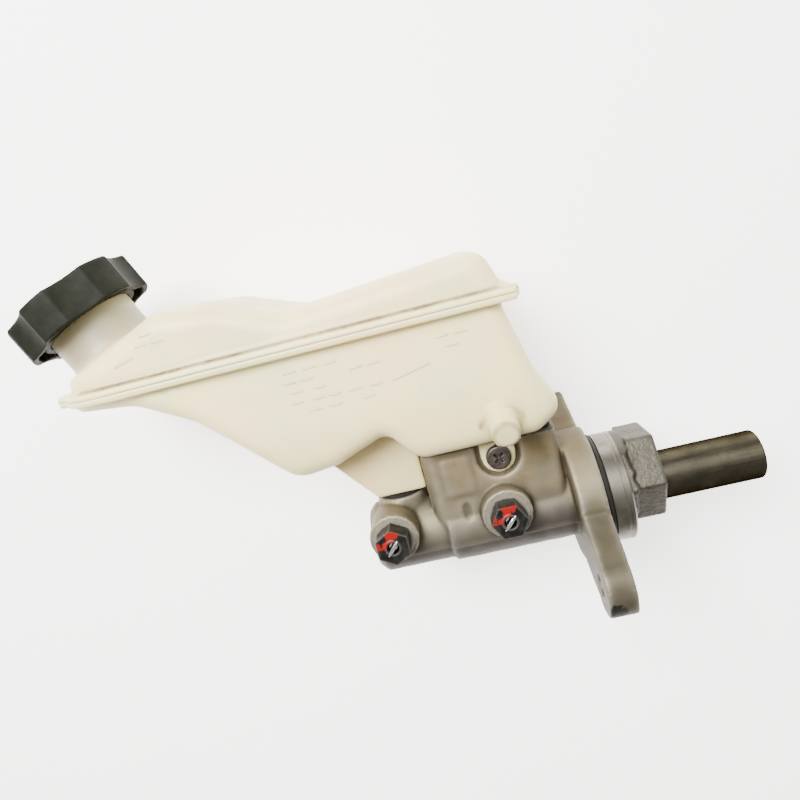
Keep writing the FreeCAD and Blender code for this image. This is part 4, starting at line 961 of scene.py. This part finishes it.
def buildLevelMarks():
    # raised level lines and a few short raised bars, no lettering
    look = marks
    bm = bmesh.new()
    bars = list(look["lines"])
    for z, starts in look["rows"]:
        bars += [((start, z), look["barLength"], 0) for start in starts]
    for (x, z), length, tilt in bars:
        front, back, top = look["wall"] - look["stand"], look["wall"] + look["sunk"], z + look["thick"]
        addBlock(bm, (x, front, z), (x + length, back, top), look["round"], 2)
        bar = [v for v in bm.verts if (x - 0.1) * mm <= v.co.x <= (x + length + 0.1) * mm
               and (z - 0.1) * mm <= v.co.z <= (top + 0.1) * mm]
        bmesh.ops.rotate(bm, verts=bar, cent=((x + length / 2) * mm, 0, z * mm),
                         matrix=Matrix.Rotation(math.radians(-tilt), 3, "Y"))
    piece = pieceFromBmesh("levelMarks", bm)
    return settle(piece, "housing", "reservoir_plastic", finishes["milkyPolypropylene"])


buildLevelMarks()
print("reservoir")


# Cap, nuts, pipes, screw, seals and sensor

capLook = {"voxel": 0.5, "rounds": 1, "rings": ((19.0, 20.2), (7.5, 8.5)), "rise": 0.6, "topHeight": 5.05}


def buildCap():
    look = capLook
    bm = copyOfNode("filler_cap")
    mouth = Vector(shell["neckMouth"]) * mm
    low, high = look["topHeight"] - 1, look["topHeight"] + look["rise"]
    for inner, outer in look["rings"]:
        ring = [(low, inner), (low, outer), (high, outer), (high, inner)]
        addShape(bm, spunProfile(ring, 96, mouth, neckAxis))
    piece = softened("lobedCap", bm, look["voxel"], look["rounds"])
    markSkin(piece, 5, 0.6)
    return settle(piece, "filler_cap", "cap_plastic", finishes["mouldedCapPlastic"], "filler_cap")


nutLook = {"voxel": 0.24, "rounds": 1, "faceY": -31.05, "lip": (2.6, 3.7, 0.35), "lipFlare": 0.3, "sunk": 0.5,
           "pipe": (1.6, 2.35), "pipeRoot": -17.5, "pipeTip": -32.15, "pinchFrom": -30.6, "pinchOver": 0.7,
           "flatten": (0.62, 0.66)}


def buildPort(which, x, z, turn):
    look = nutLook
    centre = Vector((x, 0, z)) * mm
    bm = copyOfNode(which + "_tube_nut")
    inner, outer, stand = look["lip"]
    lip = [(look["sunk"], inner), (look["sunk"], outer), (-stand, outer - look["lipFlare"]), (-stand, inner)]
    addShape(bm, spunProfile(lip, 64, (x * mm, look["faceY"] * mm, z * mm), (0, 1, 0)))
    nut = softened(which + "Nut", bm, look["voxel"], look["rounds"])
    markSkin(nut, 4, 0.22)
    steel = blackNutSteel("blackCoatedSteel_" + which, (x * mm, 0, z * mm), look["faceY"])
    settle(nut, "housing", "nut_steel", steel, which + "_tube_nut")
    inner, outer = look["pipe"]
    root, tip = look["pipeRoot"], look["pipeTip"]
    pipe = spunProfile([(root, inner), (root, outer), (tip + 0.5, outer), (tip + 0.2, outer - 0.25),
                        (tip, 1.2), (tip + 0.2, 0.0), (tip + 3, 0.0), (tip + 3, inner)], 48, centre,
                       (0, 1, 0))
    # cut off and pinched nearly flat, longer one way and shorter the other
    spin = math.radians(turn)
    long, short = Vector((math.cos(spin), 0, math.sin(spin))), Vector((-math.sin(spin), 0, math.cos(spin)))
    longer, shorter = look["flatten"]
    for vertex in pipe.verts:
        pinch = min(max((look["pinchFrom"] * mm - vertex.co.y) / (look["pinchOver"] * mm), 0), 1)
        offset = vertex.co - centre
        vertex.co += (long * offset.dot(long) * longer - short * offset.dot(short) * shorter) * pinch
    stub = pieceFromBmesh(which + "Pipe", pipe)
    settle(stub, "housing", "pipe_steel", finishes["cutPipeSteel"], which + "_pipe_stub")


def buildSoftCopy(name, node, voxel, rounds, body, slotName, finish):
    piece = softened(name, copyOfNode(node), voxel, rounds)
    return settle(piece, body, slotName, finishes[finish], node)


buildCap()
buildPort("rear", -38.7, 7.0, 47)
buildPort("front", -86.0, 7.0, 50)
buildSoftCopy("tabScrew", "retaining_screw", 0.2, 1, "housing", "screw_steel", "oiledScrewSteel")
buildSoftCopy("levelSensor", "level_sensor", 0.4, 1, "housing", "sensor_plastic", "mouldedSensorPlastic")

ringLook = {"centre": 22.6, "wire": 1.25, "place": 1.35, "turns": 128}


def buildRing():
    look = ringLook
    profile = [(look["place"] + look["wire"] * math.cos(a), look["centre"] + look["wire"] * math.sin(a))
               for a in (i * math.pi / 10 for i in range(20))]
    piece = pieceFromBmesh("flangeRing", spunProfile(profile, look["turns"]), 180)
    return settle(piece, "housing", "rubber", finishes["mouldedRubber"], "flange_seal")


buildRing()
print("fittings")
